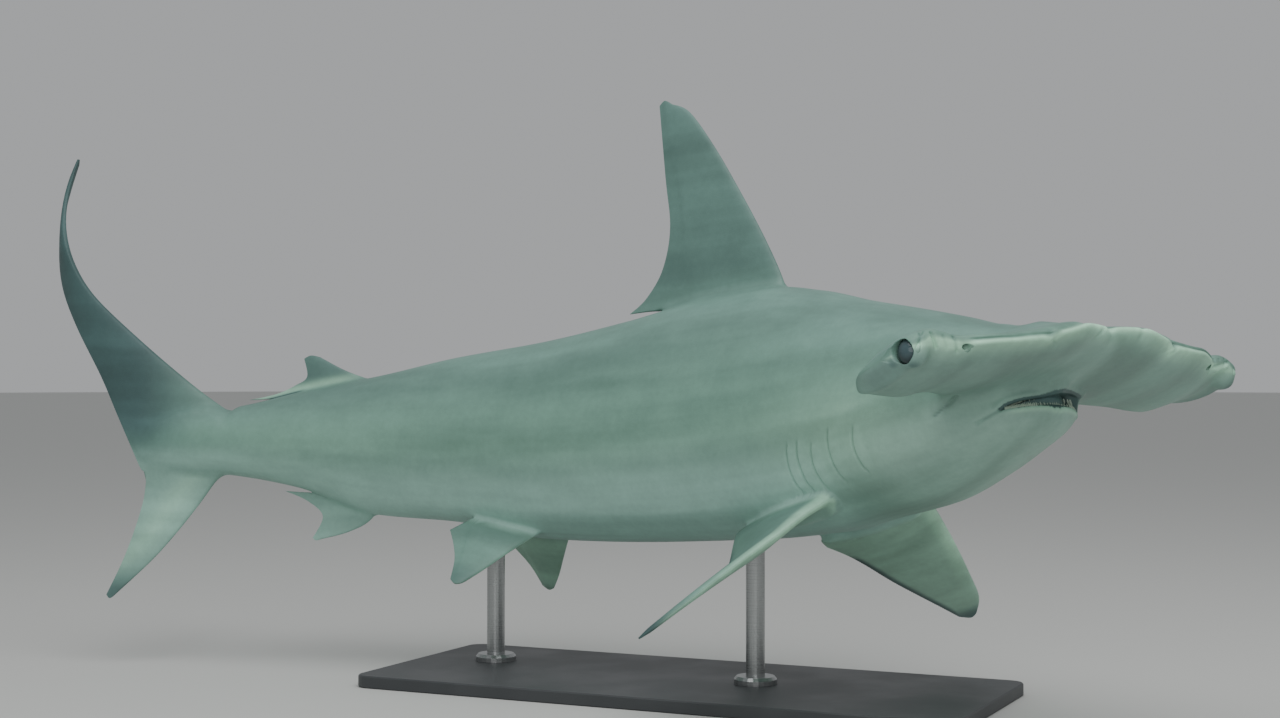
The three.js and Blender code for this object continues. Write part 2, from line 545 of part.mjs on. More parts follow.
const shoulders = trunkBetween(...finBeds.shoulders, gap);
const hips = trunkBetween(...finBeds.hips, gap);
const stalkBed = trunkBetween(...finBeds.stalk, gap);
add("first_dorsal_fin", cut(medianFin(firstDorsal), shoulders), hide);
add("second_dorsal_fin", cut(medianFin(secondDorsal), stalkBed), hide);
add("anal_fin", cut(medianFin(analFin), stalkBed), hide);
for (const side of ["left", "right"]) {
  add(`pectoral_fin_${side}`, cut(pairedFin(pectoral, pectoralRoot, side), shoulders), hide);
  add(`pelvic_fin_${side}`, cut(pairedFin(pelvic, pelvicRoot, side), hips), hide);
}

const stalkEnd = trunkBetween(partings.stalk + gap, ringStations[ringStations.length - 1]);
const stalk = trunkBetween(finBeds.tail, partings.stalk + gap, gap);
const tail = cut(join(medianFin(upperLobe), stalkEnd, medianFin(lowerLobe)), stalk);
const underParting = (drop) => below(lobeParting.map(([s, z]) => [s, z - drop]), cutting.tailHalfWidth);
add("caudal_fin_upper_lobe", cut(tail, underParting(0)), hide);
add("caudal_fin_lower_lobe", tail.intersect(underParting(gap)), hide);

add("stand_base", baseSolid(), paintedSteel);
for (const [i, station] of rod.stations.entries()) {
  const end = i === 0 ? "front" : "rear";
  add(`stand_rod_${end}`, rodAt(station), brushedSteel);
  add(`stand_collar_${end}`, collarAt(station), brushedSteel);
}

export default shark;
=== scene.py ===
# A scalloped hammerhead shark, life size, as a still museum model on its two-rod stand.
# Lengths along and across the body are in percent of the total length: s is measured back
# from the snout along the spine, y to the left of it and z above it. Scene units are metres.
import math

import bpy
import numpy as np
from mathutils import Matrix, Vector
from mathutils.kdtree import KDTree


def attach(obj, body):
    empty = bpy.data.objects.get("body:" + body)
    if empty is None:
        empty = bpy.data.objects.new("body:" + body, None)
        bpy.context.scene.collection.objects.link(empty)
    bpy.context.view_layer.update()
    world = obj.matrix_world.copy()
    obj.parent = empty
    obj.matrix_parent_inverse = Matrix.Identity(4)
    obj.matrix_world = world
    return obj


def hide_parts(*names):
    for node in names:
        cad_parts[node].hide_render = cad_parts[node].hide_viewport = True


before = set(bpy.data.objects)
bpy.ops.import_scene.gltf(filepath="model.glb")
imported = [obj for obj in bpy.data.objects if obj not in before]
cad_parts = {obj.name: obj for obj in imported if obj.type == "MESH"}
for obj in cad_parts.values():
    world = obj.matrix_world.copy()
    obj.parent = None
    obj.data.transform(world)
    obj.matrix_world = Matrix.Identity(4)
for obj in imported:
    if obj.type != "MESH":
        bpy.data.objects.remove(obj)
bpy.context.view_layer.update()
print("frame loaded")

# The body's line, as the solids have it
body = {
    "length": 2.4,  # metres
    "spineHeight": 0.392,  # metres, floor to spine at the balance station
    "spineShift": (-0.060, 0.045),
    "balanceStation": 38,
    "spineStep": 0.5,
    "heading": [
        [0, -30], [12, -30], [21, -25], [34, -11], [48, 2], [61, 14], [71, 20], [76, 21], [79, 18],
        [82, 11], [85.5, -13], [88.5, -47], [91, -70], [94, -82],
    ],  # degrees to the left of +X
    "pitch": [[0, 17.5], [12, 14.5], [30, 7], [50, 1], [72, -2], [94, -2]],  # nose up
    "bank": [[0, 3.2], [14, 3.6], [30, 4.5], [60, 6], [72, 7], [94, 7]],  # left side down
}
percent = body["length"] / 100


# Smooth curve through [x, value] stations that never overshoots them
def through(stations):
    x, y = np.array(stations, float).T
    slope = np.diff(y) / np.diff(x)
    tangent = np.concatenate([slope[:1], np.zeros(len(x) - 2), slope[-1:]])
    before, after = slope[:-1], slope[1:]
    rising = before * after > 0
    tangent[1:-1][rising] = 2 * (before * after)[rising] / (before + after)[rising]

    def at(value):
        held = np.clip(value, x[0], x[-1])
        i = np.clip(np.searchsorted(x, held) - 1, 0, len(x) - 2)
        span = x[i + 1] - x[i]
        u = (held - x[i]) / span
        level = y[i] * (1 + 2 * u) * (1 - u) ** 2 + y[i + 1] * u * u * (3 - 2 * u)
        return level + span * (tangent[i] * u * (1 - u) ** 2 + tangent[i + 1] * u * u * (u - 1))

    return at


def columnsOf(stations):
    return [through([[row[0], row[k]] for row in stations]) for k in range(1, len(stations[0]))]


def smooth(start, end, value):
    u = np.clip((value - start) / (end - start), 0, 1)
    return u * u * (3 - 2 * u)


def bump(value, centre, width):
    return np.exp(-(((value - centre) / width) ** 2))


headingAt = through(body["heading"])
pitchAt = through(body["pitch"])
bankAt = through(body["bank"])


def directionsAt(s):
    heading, pitch, bank = (np.radians(curve(s)) for curve in (headingAt, pitchAt, bankAt))
    forward = np.stack([np.cos(heading) * np.cos(pitch), np.sin(heading) * np.cos(pitch), np.sin(pitch)], -1)
    level = np.stack([-np.sin(heading), np.cos(heading), 0 * heading], -1)
    upright = np.cross(forward, level)
    left = level * np.cos(bank)[..., None] - upright * np.sin(bank)[..., None]
    return forward, left, np.cross(forward, left)


spineStations = np.arange(0, 100 + body["spineStep"], body["spineStep"])
middleForward = directionsAt(spineStations[:-1] + body["spineStep"] / 2)[0]
spinePoints = np.vstack([np.zeros(3), np.cumsum(-middleForward * body["spineStep"] * percent, axis=0)])
balancePoint = spinePoints[int(body["balanceStation"] / body["spineStep"])]
spinePoints = spinePoints + np.array([*body["spineShift"], body["spineHeight"]]) - balancePoint


def spineAt(s):
    return np.stack([np.interp(s, spineStations, spinePoints[:, axis]) for axis in range(3)], -1)


def place(s, y, z):
    s, y, z = np.broadcast_arrays(*(np.asarray(value, float) for value in (s, y, z)))
    _, left, up = directionsAt(s)
    return spineAt(s) + left * (y * percent)[..., None] + up * (z * percent)[..., None]


# The body coordinates of points, found by stepping along the spine from a first guess of s
def unplace(points, s):
    for _ in range(30):
        forward, left, up = directionsAt(s)
        away = points - spineAt(s)
        s = np.clip(s - 0.8 * np.einsum("ij,ij->i", away, forward) / percent, 0, 99.9)
    return s, np.einsum("ij,ij->i", away, left) / percent, np.einsum("ij,ij->i", away, up) / percent


# Arrays from meshes, and meshes from arrays
def readAll(items, field, width=1, kind=np.int32):
    values = np.empty(len(items) * width, kind)
    items.foreach_get(field, values)
    return values.reshape(-1, width) if width > 1 else values


def pointsOf(mesh):
    return readAll(mesh.vertices, "co", 3, np.float32).astype(float)


def normalsOf(mesh):
    return readAll(mesh.vertex_normals, "vector", 3, np.float32)


# The point at each corner of each face, and the part that the face came from
def cornersOf(mesh):
    part = readAll(mesh.polygons, "material_index")
    return readAll(mesh.loops, "vertex_index"), np.repeat(part, readAll(mesh.polygons, "loop_total"))


def moveTo(mesh, points):
    mesh.vertices.foreach_set("co", points.astype(np.float32).ravel())
    mesh.update()


def shadeSmooth(mesh):
    for polygon in mesh.polygons:
        polygon.use_smooth = True


def newPiece(name, data):
    piece = bpy.data.objects.new(name, data)
    bpy.context.scene.collection.objects.link(piece)
    return piece


# A closed form from rings of points, with a fan over each end
def loft(name, rings):
    count, sides = rings.shape[:2]
    row, side = np.meshgrid(np.arange(count - 1), np.arange(sides), indexing="ij")
    row, side = row.ravel(), side.ravel()
    ahead = (side + 1) % sides
    here, beyond = row * sides, (row + 1) * sides
    quads = np.stack([here + side, here + ahead, beyond + ahead, beyond + side], 1)
    points = np.vstack([rings.reshape(-1, 3), rings[0].mean(0), rings[-1].mean(0)])
    around = np.arange(sides)
    after = (around + 1) % sides
    startFan = np.stack([after, around, np.full(sides, count * sides)], 1)
    last = (count - 1) * sides
    endFan = np.stack([last + around, last + after, np.full(sides, count * sides + 1)], 1)
    return turnedOut(name, points, [quads, startFan, endFan])


# A closed form between two like grids of points
def betweenFaces(name, near, far):
    rows, columns = near.shape[:2]
    index = np.arange(rows * columns).reshape(rows, columns)
    a, b, c, d = index[:-1, :-1], index[:-1, 1:], index[1:, 1:], index[1:, :-1]
    face = np.stack([a, b, c, d], -1).reshape(-1, 4)
    under = rows * columns
    rim = np.concatenate([index[0, :-1], index[:-1, -1], index[-1, :0:-1], index[:0:-1, 0]])
    after = np.roll(rim, -1)
    wall = np.stack([after, rim, rim + under, after + under], 1)
    points = np.vstack([near.reshape(-1, 3), far.reshape(-1, 3)])
    return turnedOut(name, points, [face, face[:, ::-1] + under, wall])


# The piece with its faces pointing out, whichever way round its rings were given
def turnedOut(name, points, groups):
    middle = points.mean(0)
    volume = 0
    for faces in groups:
        corners = [points[faces[:, k]] - middle for k in range(faces.shape[1])]
        for k in range(1, faces.shape[1] - 1):
            volume += np.einsum("ij,ij->", corners[0], np.cross(corners[k], corners[k + 1]))
    faces = [row for group in groups for row in (group if volume > 0 else group[:, ::-1]).tolist()]
    mesh = bpy.data.meshes.new(name)
    mesh.from_pydata(points.tolist(), [], faces)
    return newPiece(name, mesh)


# One boolean over several closed pieces, which are used up. Each piece's name marks its faces
def combined(name, first, others, operation):
    group = bpy.data.collections.new(name + "_parts")
    for piece in [first, *others]:
        if not piece.data.materials:
            piece.data.materials.append(bpy.data.materials.new(piece.name))
    for other in others:
        group.objects.link(other)
    modifier = first.modifiers.new(name, "BOOLEAN")
    modifier.operation = operation
    modifier.solver = "MANIFOLD"
    modifier.operand_type = "COLLECTION"
    modifier.collection = group
    modifier.material_mode = "TRANSFER"
    depsgraph = bpy.context.evaluated_depsgraph_get()
    mesh = bpy.data.meshes.new_from_object(first.evaluated_get(depsgraph))
    mesh.name = name
    for used in [first, *others]:
        bpy.data.objects.remove(used)
    bpy.data.collections.remove(group)
    return newPiece(name, mesh)


# The points of a mesh that lie on faces of two parts, one of them named
def joinPoints(mesh, partName):
    names = [material.name for material in mesh.materials]
    if partName not in names:
        return np.zeros(0, int)
    corner, part = cornersOf(mesh)
    inside = part == names.index(partName)
    touched = np.zeros(len(mesh.vertices), bool)
    outside = touched.copy()
    touched[corner[inside]] = True
    outside[corner[~inside]] = True
    return np.flatnonzero(touched & outside)


farAway = 1e3  # the distance of whatever is out of reach


def distanceTo(points, targets, reach):
    tree = KDTree(len(targets))
    for i, target in enumerate(targets):
        tree.insert(target, i)
    tree.balance()
    low, high = targets.min(0) - reach, targets.max(0) + reach
    distance = np.full(len(points), farAway)
    for i in np.flatnonzero(((points > low) & (points < high)).all(1)):
        distance[i] = tree.find(points[i])[2]
    return distance


fillet = {"full": 0.4, "step": 0.7}  # smoothed in full within this share of the reach, by this step


# Smooths a mesh near one part's join into a fillet; reach is in percent
def soften(piece, partName, reach, rounds):
    mesh = piece.data
    joins = joinPoints(mesh, partName)
    if not len(joins):
        print("no join found for", partName)
        return
    points = pointsOf(mesh)
    distance = distanceTo(points, points[joins], reach * percent) / percent
    edges = readAll(mesh.edges, "vertices", 2)
    weight = 1 - smooth(reach * fillet["full"], reach, distance)
    edges = edges[(weight[edges] > 0).any(1)]
    used, edges = np.unique(edges, return_inverse=True)
    edges = edges.reshape(-1, 2)
    count = np.bincount(edges.ravel(), minlength=len(used))[:, None]
    step = (weight[used] * fillet["step"])[:, None]
    moving = points[used]
    for _ in range(rounds):
        total = np.zeros_like(moving)
        for axis in range(3):
            total[:, axis] = np.bincount(edges[:, 0], moving[edges[:, 1], axis], len(used))
            total[:, axis] += np.bincount(edges[:, 1], moving[edges[:, 0], axis], len(used))
        moving = moving + step * (total / count - moving)
    points[used] = moving
    moveTo(mesh, points)
    print("softened", partName, len(joins), "points on the join")


# The trunk: [s, top, bottom, half width, height of the widest place]
trunk = {
    "stations": [
        [5.7, -0.5, -3.0, 0.5, -1.8], [5.9, 0.7, -3.45, 1.35, -1.8], [6.35, 1.65, -3.85, 2.35, -1.8],
        [7.2, 2.3, -4.25, 3.35, -1.7], [9.2, 3.0, -4.8, 4.3, -1.3], [12, 4.25, -5.6, 4.9, -0.9],
        [16, 5.82, -6.4, 5.3, -0.8], [20, 7.2, -6.55, 5.7, -0.5], [24, 8.6, -6.9, 6.0, -0.2],
        [28, 9.4, -6.9, 6.1, 0.2], [34, 9.3, -6.75, 6.1, 0.4], [40, 8.5, -6.65, 5.8, 0.2],
        [47, 7.4, -6.4, 5.2, 0], [54, 6.4, -5.3, 4.3, 0], [60, 5.05, -4.95, 3.5, 0],
        [66, 3.75, -3.2, 2.6, 0], [70.5, 2.55, -2.55, 1.9, 0], [74, 2.0, -2.3, 1.2, -0.1],
        [77.2, 1.0, -1.6, 0.35, -0.3],
    ],
    "back": 0.92, "belly": 0.8, "flank": 0.95,  # powers of the ellipse: under 1 is fuller
    "pitStation": 71.4, "pitDepth": 0.35, "pitLength": 0.5,  # the notch ahead of the tail fin
    "rings": [
        [5.7, 6.4, 20], [6.4, 12, 80], [12, 15.8, 30], [15.8, 23.8, 200], [23.8, 69, 190], [69, 77.2, 60],
    ],  # from, to, how many
    "sides": 260,
}
trunkTop, trunkBottom, trunkHalfWidth, trunkWaist = columnsOf(trunk["stations"])

gills = {
    "slits": [
        [16.95, -2.1, -4.0], [19.0, -1.9, -4.2], [20.6, -2.5, -4.6], [21.7, -2.15, -4.7], [22.6, -2.25, -4.5],
    ],  # [s, top, bottom]
    "rise": 0.1, "run": 0.9,  # the flap that swells ahead of each slit
    "drop": 0.26, "recover": 0.35, "lip": 0.05,  # the slit behind the flap's edge
    "fade": 0.5, "overrun": 0.5,  # how a slit ends, and how far its line is followed past its ends
    "bow": 0.12,  # how far back the middle of a slit stands
}


def gillRelief(s, z):
    relief = 0 * s
    for slit, top, bottom in gills["slits"]:
        share = np.clip((top - z) / (top - bottom), -gills["overrun"], 1 + gills["overrun"])
        edge = slit + 4 * gills["bow"] * share * (1 - share)
        ends = smooth(bottom - gills["fade"], bottom, z) * (1 - smooth(top, top + gills["fade"], z))
        swell = smooth(edge - gills["run"], edge, s) * (1 - smooth(edge, edge + gills["lip"], s))
        floor = edge + gills["lip"]
        hollow = smooth(edge, floor, s) * (1 - smooth(floor, edge + gills["recover"], s))
        relief = relief + (gills["rise"] * swell - gills["drop"] * hollow) * ends
    return relief


def trunkPoint(s, angle):
    side, height = -np.cos(angle), np.sin(angle)
    pit = trunk["pitDepth"] * bump(s, trunk["pitStation"], trunk["pitLength"])
    waist = trunkWaist(s)
    reach = np.where(height > 0, trunkTop(s) - waist - pit, waist - trunkBottom(s))
    power = np.where(height > 0, trunk["back"], trunk["belly"])
    z = waist + np.sign(height) * np.abs(height) ** power * reach
    halfWidth = trunkHalfWidth(s) + gillRelief(s, z)
    return place(s, np.sign(side) * np.abs(side) ** trunk["flank"] * halfWidth, z)


# How far body points stand off the trunk's skin, in percent
def trunkGap(s, y, z):
    waist = trunkWaist(s)
    reach = np.where(z > waist, trunkTop(s) - waist, waist - trunkBottom(s))
    power = np.where(z > waist, trunk["back"], trunk["belly"])
    across = (np.abs(y) / trunkHalfWidth(s)) ** (1 / trunk["flank"])
    out = np.hypot(across, (np.abs(z - waist) / reach) ** (1 / power))
    return (out - 1) / np.maximum(out, 0.01) * np.hypot(y, z - waist)


def makeTrunk():
    stations = np.unique(np.concatenate([np.linspace(*run) for run in trunk["rings"]]))
    angles = np.linspace(0, 2 * math.pi, trunk["sides"], endpoint=False)
    return loft("trunk", trunkPoint(stations[:, None], angles[None, :]))


# The hammer: [y, leading edge s, trailing edge s, half thickness, height, fall towards the rear]
hammer = {
    "stations": [
        [0, 0.85, 11, 1.15, -0.32, 0.06], [1.3, 0.65, 11, 1.2, -0.25, 0.06],
        [2.7, 0.35, 11, 1.22, -0.35, 0.06], [4.0, 0.55, 10.6, 1.12, -0.58, 0.08],
        [4.9, 0.8, 9.8, 1.03, -0.75, 0.1], [6.0, 1.0, 9.0, 1.05, -0.92, 0.13],
        [7.6, 1.25, 8.3, 0.9, -1.08, 0.16], [9.2, 1.95, 7.9, 0.82, -1.12, 0.2],
        [10.1, 2.5, 7.9, 0.88, -0.98, 0.22], [10.7, 2.65, 8.0, 0.97, -0.8, 0.24],
        [11.4, 2.75, 8.25, 1.0, -0.66, 0.26], [12.1, 2.85, 8.3, 1.0, -0.8, 0.25],
        [12.7, 3.15, 7.8, 0.75, -0.87, 0.18], [13.0, 3.7, 7.2, 0.38, -0.88, 0.15],
    ],
    "fallsFrom": 4.0,  # the station of the eye
    "taper": 0.45,  # how much thinner the trailing edge is
    "sags": [
        [9.0, 1.6, 0.08], [12.2, 1.8, -0.14], [-10.4, 1.3, 0.09], [-7.0, 1.5, -0.03],
    ],  # where a rear edge hangs lower or higher: [y, width, fall]
    "browRise": 1.8, "browSpan": [1.2, 7.5], "browWidth": 2.6,  # the slope up to the nape
    "rings": 400, "sides": 190, "crowding": 1.15,
}
hammerLead, hammerTrail, hammerHalf, hammerHeight, hammerFall = columnsOf(hammer["stations"])


def hammerMiddle(s, y):
    fall = hammerFall(np.abs(y)) + sum(sag * bump(y, at, width) for at, width, sag in hammer["sags"])
    return hammerHeight(np.abs(y)) - fall * (s - hammer["fallsFrom"])


def hammerPoint(y, angle):
    back = (1 + np.cos(angle)) / 2
    out = np.abs(y)
    s = hammerLead(out) * (1 - back) + hammerTrail(out) * back
    half = hammerHalf(out) * (1 - hammer["taper"] * back * back)
    brow = hammer["browRise"] * smooth(*hammer["browSpan"], s) * bump(y, 0, hammer["browWidth"])
    above = np.maximum(np.sin(angle), 0)
    return s, y + 0 * s, hammerMiddle(s, y) + np.sin(angle) * half + above * brow


def makeHammer():
    tip = hammer["stations"][-1][0]
    u = np.linspace(-1, 1, hammer["rings"])
    across = tip * np.sign(u) * (1 - (1 - np.abs(u)) ** hammer["crowding"])
    angles = np.linspace(0, 2 * math.pi, hammer["sides"], endpoint=False)
    rings = place(*hammerPoint(across[:, None], angles[None, :]))
    return loft("hammer", rings)


# The mouth: a gape that narrows to its corners, rounded lips, and two rows of small teeth
mouth = {
    "front": 4.2, "corner": 7.15, "upperFront": -1.95, "lowerFront": -2.77, "cornerZ": -2.87,
    "frontHalfWidth": [3.3, 2.2], "halfWidth": 3.5, "fullFrom": 6.8,  # front: left, right
    "askew": 0.26, "askewTo": 6.8,  # how the upper edge rises to the left, and as far back as where
    "ceiling": -1.88,  # the upper edge stays below the hammer
    "curve": [0.47, 0.8],  # how slowly the upper and the lower edge open ahead of the corners
    "lipReach": 0.5, "lipSwell": 0.09, "lipAt": 0.15, "lipWidth": 0.16,
    "rows": 40, "columns": 60, "least": 0.004,  # the least half height, at the corners
}


# The height of the upper (0) or lower (1) edge of the gape
def gapeHeight(s, jaw):
    share = np.clip((mouth["corner"] - s) / (mouth["corner"] - mouth["front"]), 0, 1) ** mouth["curve"][jaw]
    front = mouth["lowerFront"] if jaw else mouth["upperFront"]
    return mouth["cornerZ"] + (front - mouth["cornerZ"]) * share


def makeGape():
    s = np.linspace(mouth["front"], mouth["corner"], mouth["rows"])[:, None]
    side = np.linspace(1, -1, mouth["columns"])[None, :]
    front = np.where(side > 0, *mouth["frontHalfWidth"])
    y = side * (front + (mouth["halfWidth"] - front) * smooth(mouth["front"], mouth["fullFrom"], s))
    askew = mouth["askew"] * (1 - smooth(mouth["askewTo"], mouth["corner"], s)) * np.maximum(y, 0)
    top = np.minimum(gapeHeight(s, 0) + askew, mouth["ceiling"]) + mouth["least"]
    return betweenFaces("gape", place(s, y, top), place(s, y, gapeHeight(s, 1) - mouth["least"]))


# The fins, each a patch between four edges in its own plane: [back along the body, out from the root]
firstDorsal = {
    "lead": [[27.0, 7.6], [27.6, 10], [29.0, 13], [30.9, 16.4], [33.0, 19.8], [35.1, 22.5], [36.7, 23.3]],
    "trail": [[40.6, 9.0], [39.2, 10], [37.8, 11.9], [37.1, 14.7], [37.4, 18.2], [37.8, 23.3]],
    "root": [[27.0, 7.6], [32, 7.8], [36.2, 8], [38, 9.0], [40.6, 9.0]],
    "tip": [[36.7, 23.3], [37.3, 23.6], [37.8, 23.3]],
    "thick": 0.8, "thin": 0.22, "rows": 90, "columns": 56, "fillet": 0.8, "freeFrom": [36.6, 38.2],
}
secondDorsal = {
    "lead": [[59.6, 4.3], [61.2, 4.8], [63.0, 5.4], [64.9, 6.3]],
    "trail": [[70.0, 3.0], [68, 3.5], [66.6, 4.2], [65.8, 4.85], [66.1, 6.15]],
    "root": [[59.6, 4.3], [63.5, 3.2], [67, 3.2], [70.0, 3.0]],
    "tip": [[64.9, 6.3], [65.6, 6.4], [66.1, 6.15]],
    "thick": 0.42, "thin": 0.14, "rows": 40, "columns": 40, "fillet": 0.35, "freeFrom": [66, 67],
}
analFin = {
    "lead": [[59.3, -3.4], [60.4, -5.3], [62.0, -6.25], [64.0, -6.85]],
    "trail": [[66.9, -3.5], [65.2, -4.15], [64.0, -5.2], [64.65, -6.8]],
    "root": [[59.3, -3.4], [62.2, -3], [64.4, -3.5], [66.9, -3.5]],
    "tip": [[64.0, -6.85], [64.4, -6.95], [64.65, -6.8]],
    "thick": 0.42, "thin": 0.14, "rows": 40, "columns": 40, "fillet": 0.35, "freeFrom": [63.4, 64.4],
}
upperLobe = {
    "lead": [[70.6, 1.6], [74, 3.75], [79.5, 7.9], [83.4, 11], [87.2, 14.7], [90.2, 17.8], [92.5, 20.6]],
    "trail": [[77.4, -2.9], [79.6, 1.2], [81.5, 4.6], [84, 8.0], [87, 11.6], [89.8, 15.2], [92.9, 20.2]],
    "root": [[70.6, 1.6], [73, 0], [75.5, -1.6], [77.4, -2.9]],
    "tip": [[92.5, 20.6], [92.8, 20.6], [92.9, 20.2]],
    "thick": 0.75, "thin": 0.16, "rows": 150, "columns": 48, "fillet": 0.5, "freeFrom": [76, 79],
}
lowerLobe = {
    "lead": [[70.6, -1.6], [71.9, -2.8], [73.1, -4.6], [74.6, -6.7], [76.3, -8.8], [78.9, -11.5]],
    "trail": [[77.3, -2.6], [77.3, -4.4], [77.8, -6.7], [78.5, -9.0], [79.5, -11.5]],
    "root": [[70.6, -1.6], [73, -1.2], [75.5, -1.3], [77.3, -2.6]],
    "tip": [[78.9, -11.5], [79.25, -11.75], [79.5, -11.5]],
    "thick": 0.6, "thin": 0.16, "rows": 70, "columns": 44, "fillet": 0.5, "freeFrom": [76, 79],
}
pectoral = {
    "lead": [[-0.4, -1.6], [0.4, 1.4], [1.5, 5.0], [2.7, 8.6], [3.7, 11.3], [4.9, 12.9]],
    "trail": [[8.35, 0.2], [7.9, 1.9], [7.65, 3.7], [7.4, 6.4], [6.95, 9.0], [6.5, 11.2], [6.2, 12.7]],
    "root": [[-0.4, -1.6], [2.6, -1.8], [5.4, -1.8], [7.7, -1.3], [8.35, 0.2]],
    "tip": [[4.9, 12.9], [5.55, 13.2], [6.2, 12.7]],
    "thick": 0.7, "thin": 0.17, "rows": 80, "columns": 48, "fillet": 0.7, "freeFrom": [26.5, 28],
    "station": 20.65, "y": 4.7, "z": -5.5, "curl": 0.5, "twistedBy": 3.8,
    "left": {"droop": 20, "raised": 16, "twist": 0, "swept": 9},
    "right": {"droop": 25, "raised": 6, "twist": 12, "swept": 0},
}
pelvic = {
    "lead": [[-0.8, -1.2], [0.9, 1.8], [2.1, 4.0], [3.0, 5.4]],
    "trail": [[5.8, 0.9], [5.0, 2.2], [4.35, 3.6], [3.95, 5.3]],
    "root": [[-0.8, -1.2], [1.8, -1.4], [4.0, -1.3], [4.8, -0.3], [5.8, 0.9]],
    "tip": [[3.0, 5.4], [3.5, 5.6], [3.95, 5.3]],
    "thick": 0.45, "thin": 0.16, "rows": 44, "columns": 40, "fillet": 0.35, "freeFrom": [50.8, 52],
    "station": 46.8, "y": 2.7, "z": -6.2, "curl": 0.2, "twistedBy": 5,
    "left": {"droop": 46, "raised": -8, "twist": 0, "swept": 0},
    "right": {"droop": 41, "raised": -12, "twist": 0, "swept": 0},
}
finProfile = {
    "full": 2.1, "rear": 1.3,  # fullest ahead of its middle, and thin towards the rear
    "taper": 1.4, "tipThickness": 0.3, "tipLength": 0.125,
    "edge": 0.022, "edgeFrom": 0.05,  # half the thickness of every trailing edge
    "flareFront": 0.12, "flareRear": 0.1,  # where the flare at the root begins and ends along the chord
}


# Smooth curve through points, evenly spread over them, as t runs from 0 to 1
def edgeCurve(points, t):
    points = np.array(points, float)
    last = len(points) - 1
    along = np.clip(t, 0, 1) * last
    i = np.minimum(along.astype(int), last - 1)
    u = (along - i)[..., None]
    a, b = points[np.maximum(i - 1, 0)], points[i]
    c, d = points[i + 1], points[np.minimum(i + 2, last)]
    start, end = (c - a) / 2, (d - b) / 2
    return (2 * b - 2 * c + start + end) * u ** 3 + (3 * c - 3 * b - 2 * start - end) * u ** 2 + start * u + b


def finPlan(fin, back, out):
    lead, trail = edgeCurve(fin["lead"], out), edgeCurve(fin["trail"], out)
    root, tip = edgeCurve(fin["root"], back), edgeCurve(fin["tip"], back)
    back, out = back[..., None], out[..., None]
    between = (1 - out) * root + out * tip + (1 - back) * lead + back * trail
    rootCorners, tipCorners = (
        (1 - back) * np.array(fin[end][0]) + back * np.array(fin[end][-1]) for end in ("root", "tip"))
    return between - (1 - out) * rootCorners - out * tipCorners


def finHalf(fin, back, out):
    profile = finProfile["full"] * np.sqrt(back) * (1 - back) ** finProfile["rear"]
    taper = fin["thin"] + (fin["thick"] - fin["thin"]) * (1 - out) ** finProfile["taper"]
    tip = np.minimum(1, finProfile["tipThickness"] + (1 - out) / finProfile["tipLength"])
    return taper * profile * tip + finProfile["edge"] * np.minimum(1, back / finProfile["edgeFrom"])


def makeFin(name, fin, put):
    out = np.sin(np.linspace(0, math.pi / 2, fin["rows"]))[:, None]
    back = (0.5 - 0.5 * np.cos(np.linspace(0, math.pi, fin["columns"])))[None, :]
    out, back = np.broadcast_arrays(out, back)
    plan = finPlan(fin, back, out)
    middle = put(plan[..., 0], plan[..., 1], 0 * out)
    firstGuess = fin.get("station", fin["lead"][0][0]) + 2.0  # a little behind the front of its root
    s, y, z = unplace(middle.reshape(-1, 3), np.full(out.size, firstGuess))
    gap = trunkGap(s, y, z).reshape(out.shape)
    free = smooth(*fin["freeFrom"], s).reshape(out.shape)
    near = np.clip(1 - gap / fin["fillet"], 0, 1)
    flare = fin["fillet"] * (1 - np.sqrt(np.maximum(1 - near * near, 0))) * (1 - free)
    flare = flare * np.sqrt(np.minimum(1, back / finProfile["flareFront"]))
    half = finHalf(fin, back, out) + flare * smooth(0, finProfile["flareRear"], 1 - back)
    return betweenFaces(name, *(put(plan[..., 0], plan[..., 1], face * half) for face in (1, -1)))


def medianPut(s, z, y):
    return place(s, y, z)


# A paired fin stands in the frame of the spine at its root, and twists nose up over its span
def finFrame(fin, side):
    sign = 1 if side == "left" else -1
    forward, left, up = directionsAt(np.array(float(fin["station"])))
    down = math.radians(fin[side]["droop"])
    out = left * sign * math.cos(down) - up * math.sin(down)
    flat = left * sign * math.sin(down) + up * math.cos(down)
    return place(fin["station"], sign * fin["y"], fin["z"]), forward, out, flat


def tiltAt(fin, side, span):
    return np.radians(fin[side]["raised"] + fin[side]["twist"] * smooth(0, fin["twistedBy"], span))


def pairedPut(fin, side):
    origin, forward, out, flat = finFrame(fin, side)
    sweep = math.radians(fin[side]["swept"])
    reach = fin["tip"][1][1]

    def put(x, y, z):
        lift = (z - fin["curl"] * np.maximum(y / reach, 0) ** 2)[..., None]
        back = (x * math.cos(sweep) + y * math.sin(sweep))[..., None]
        span = (y * math.cos(sweep) - x * math.sin(sweep))[..., None]
        tilt = tiltAt(fin, side, y)[..., None]
        ahead = forward * np.cos(tilt) + flat * np.sin(tilt)
        above = flat * np.cos(tilt) - forward * np.sin(tilt)
        return origin + (-back * ahead + span * out + lift * above) * percent

    return put


# Eyes, their lids and sockets, and the nostrils
eye = {"s": 3.85, "y": 12.05, "z": -1.0, "radius": 0.78, "gap": 0.015, "turned": 22}
lid = {"cover": 0.1, "openInner": 0.64, "openOuter": 0.72, "from": 0.2, "to": 1.4, "sides": 72, "rings": 12}
nostril = {"y": 9.5, "z": -1.0, "radii": (0.4, 0.24, 0.13), "ahead": 0.12}  # deep, long and tall


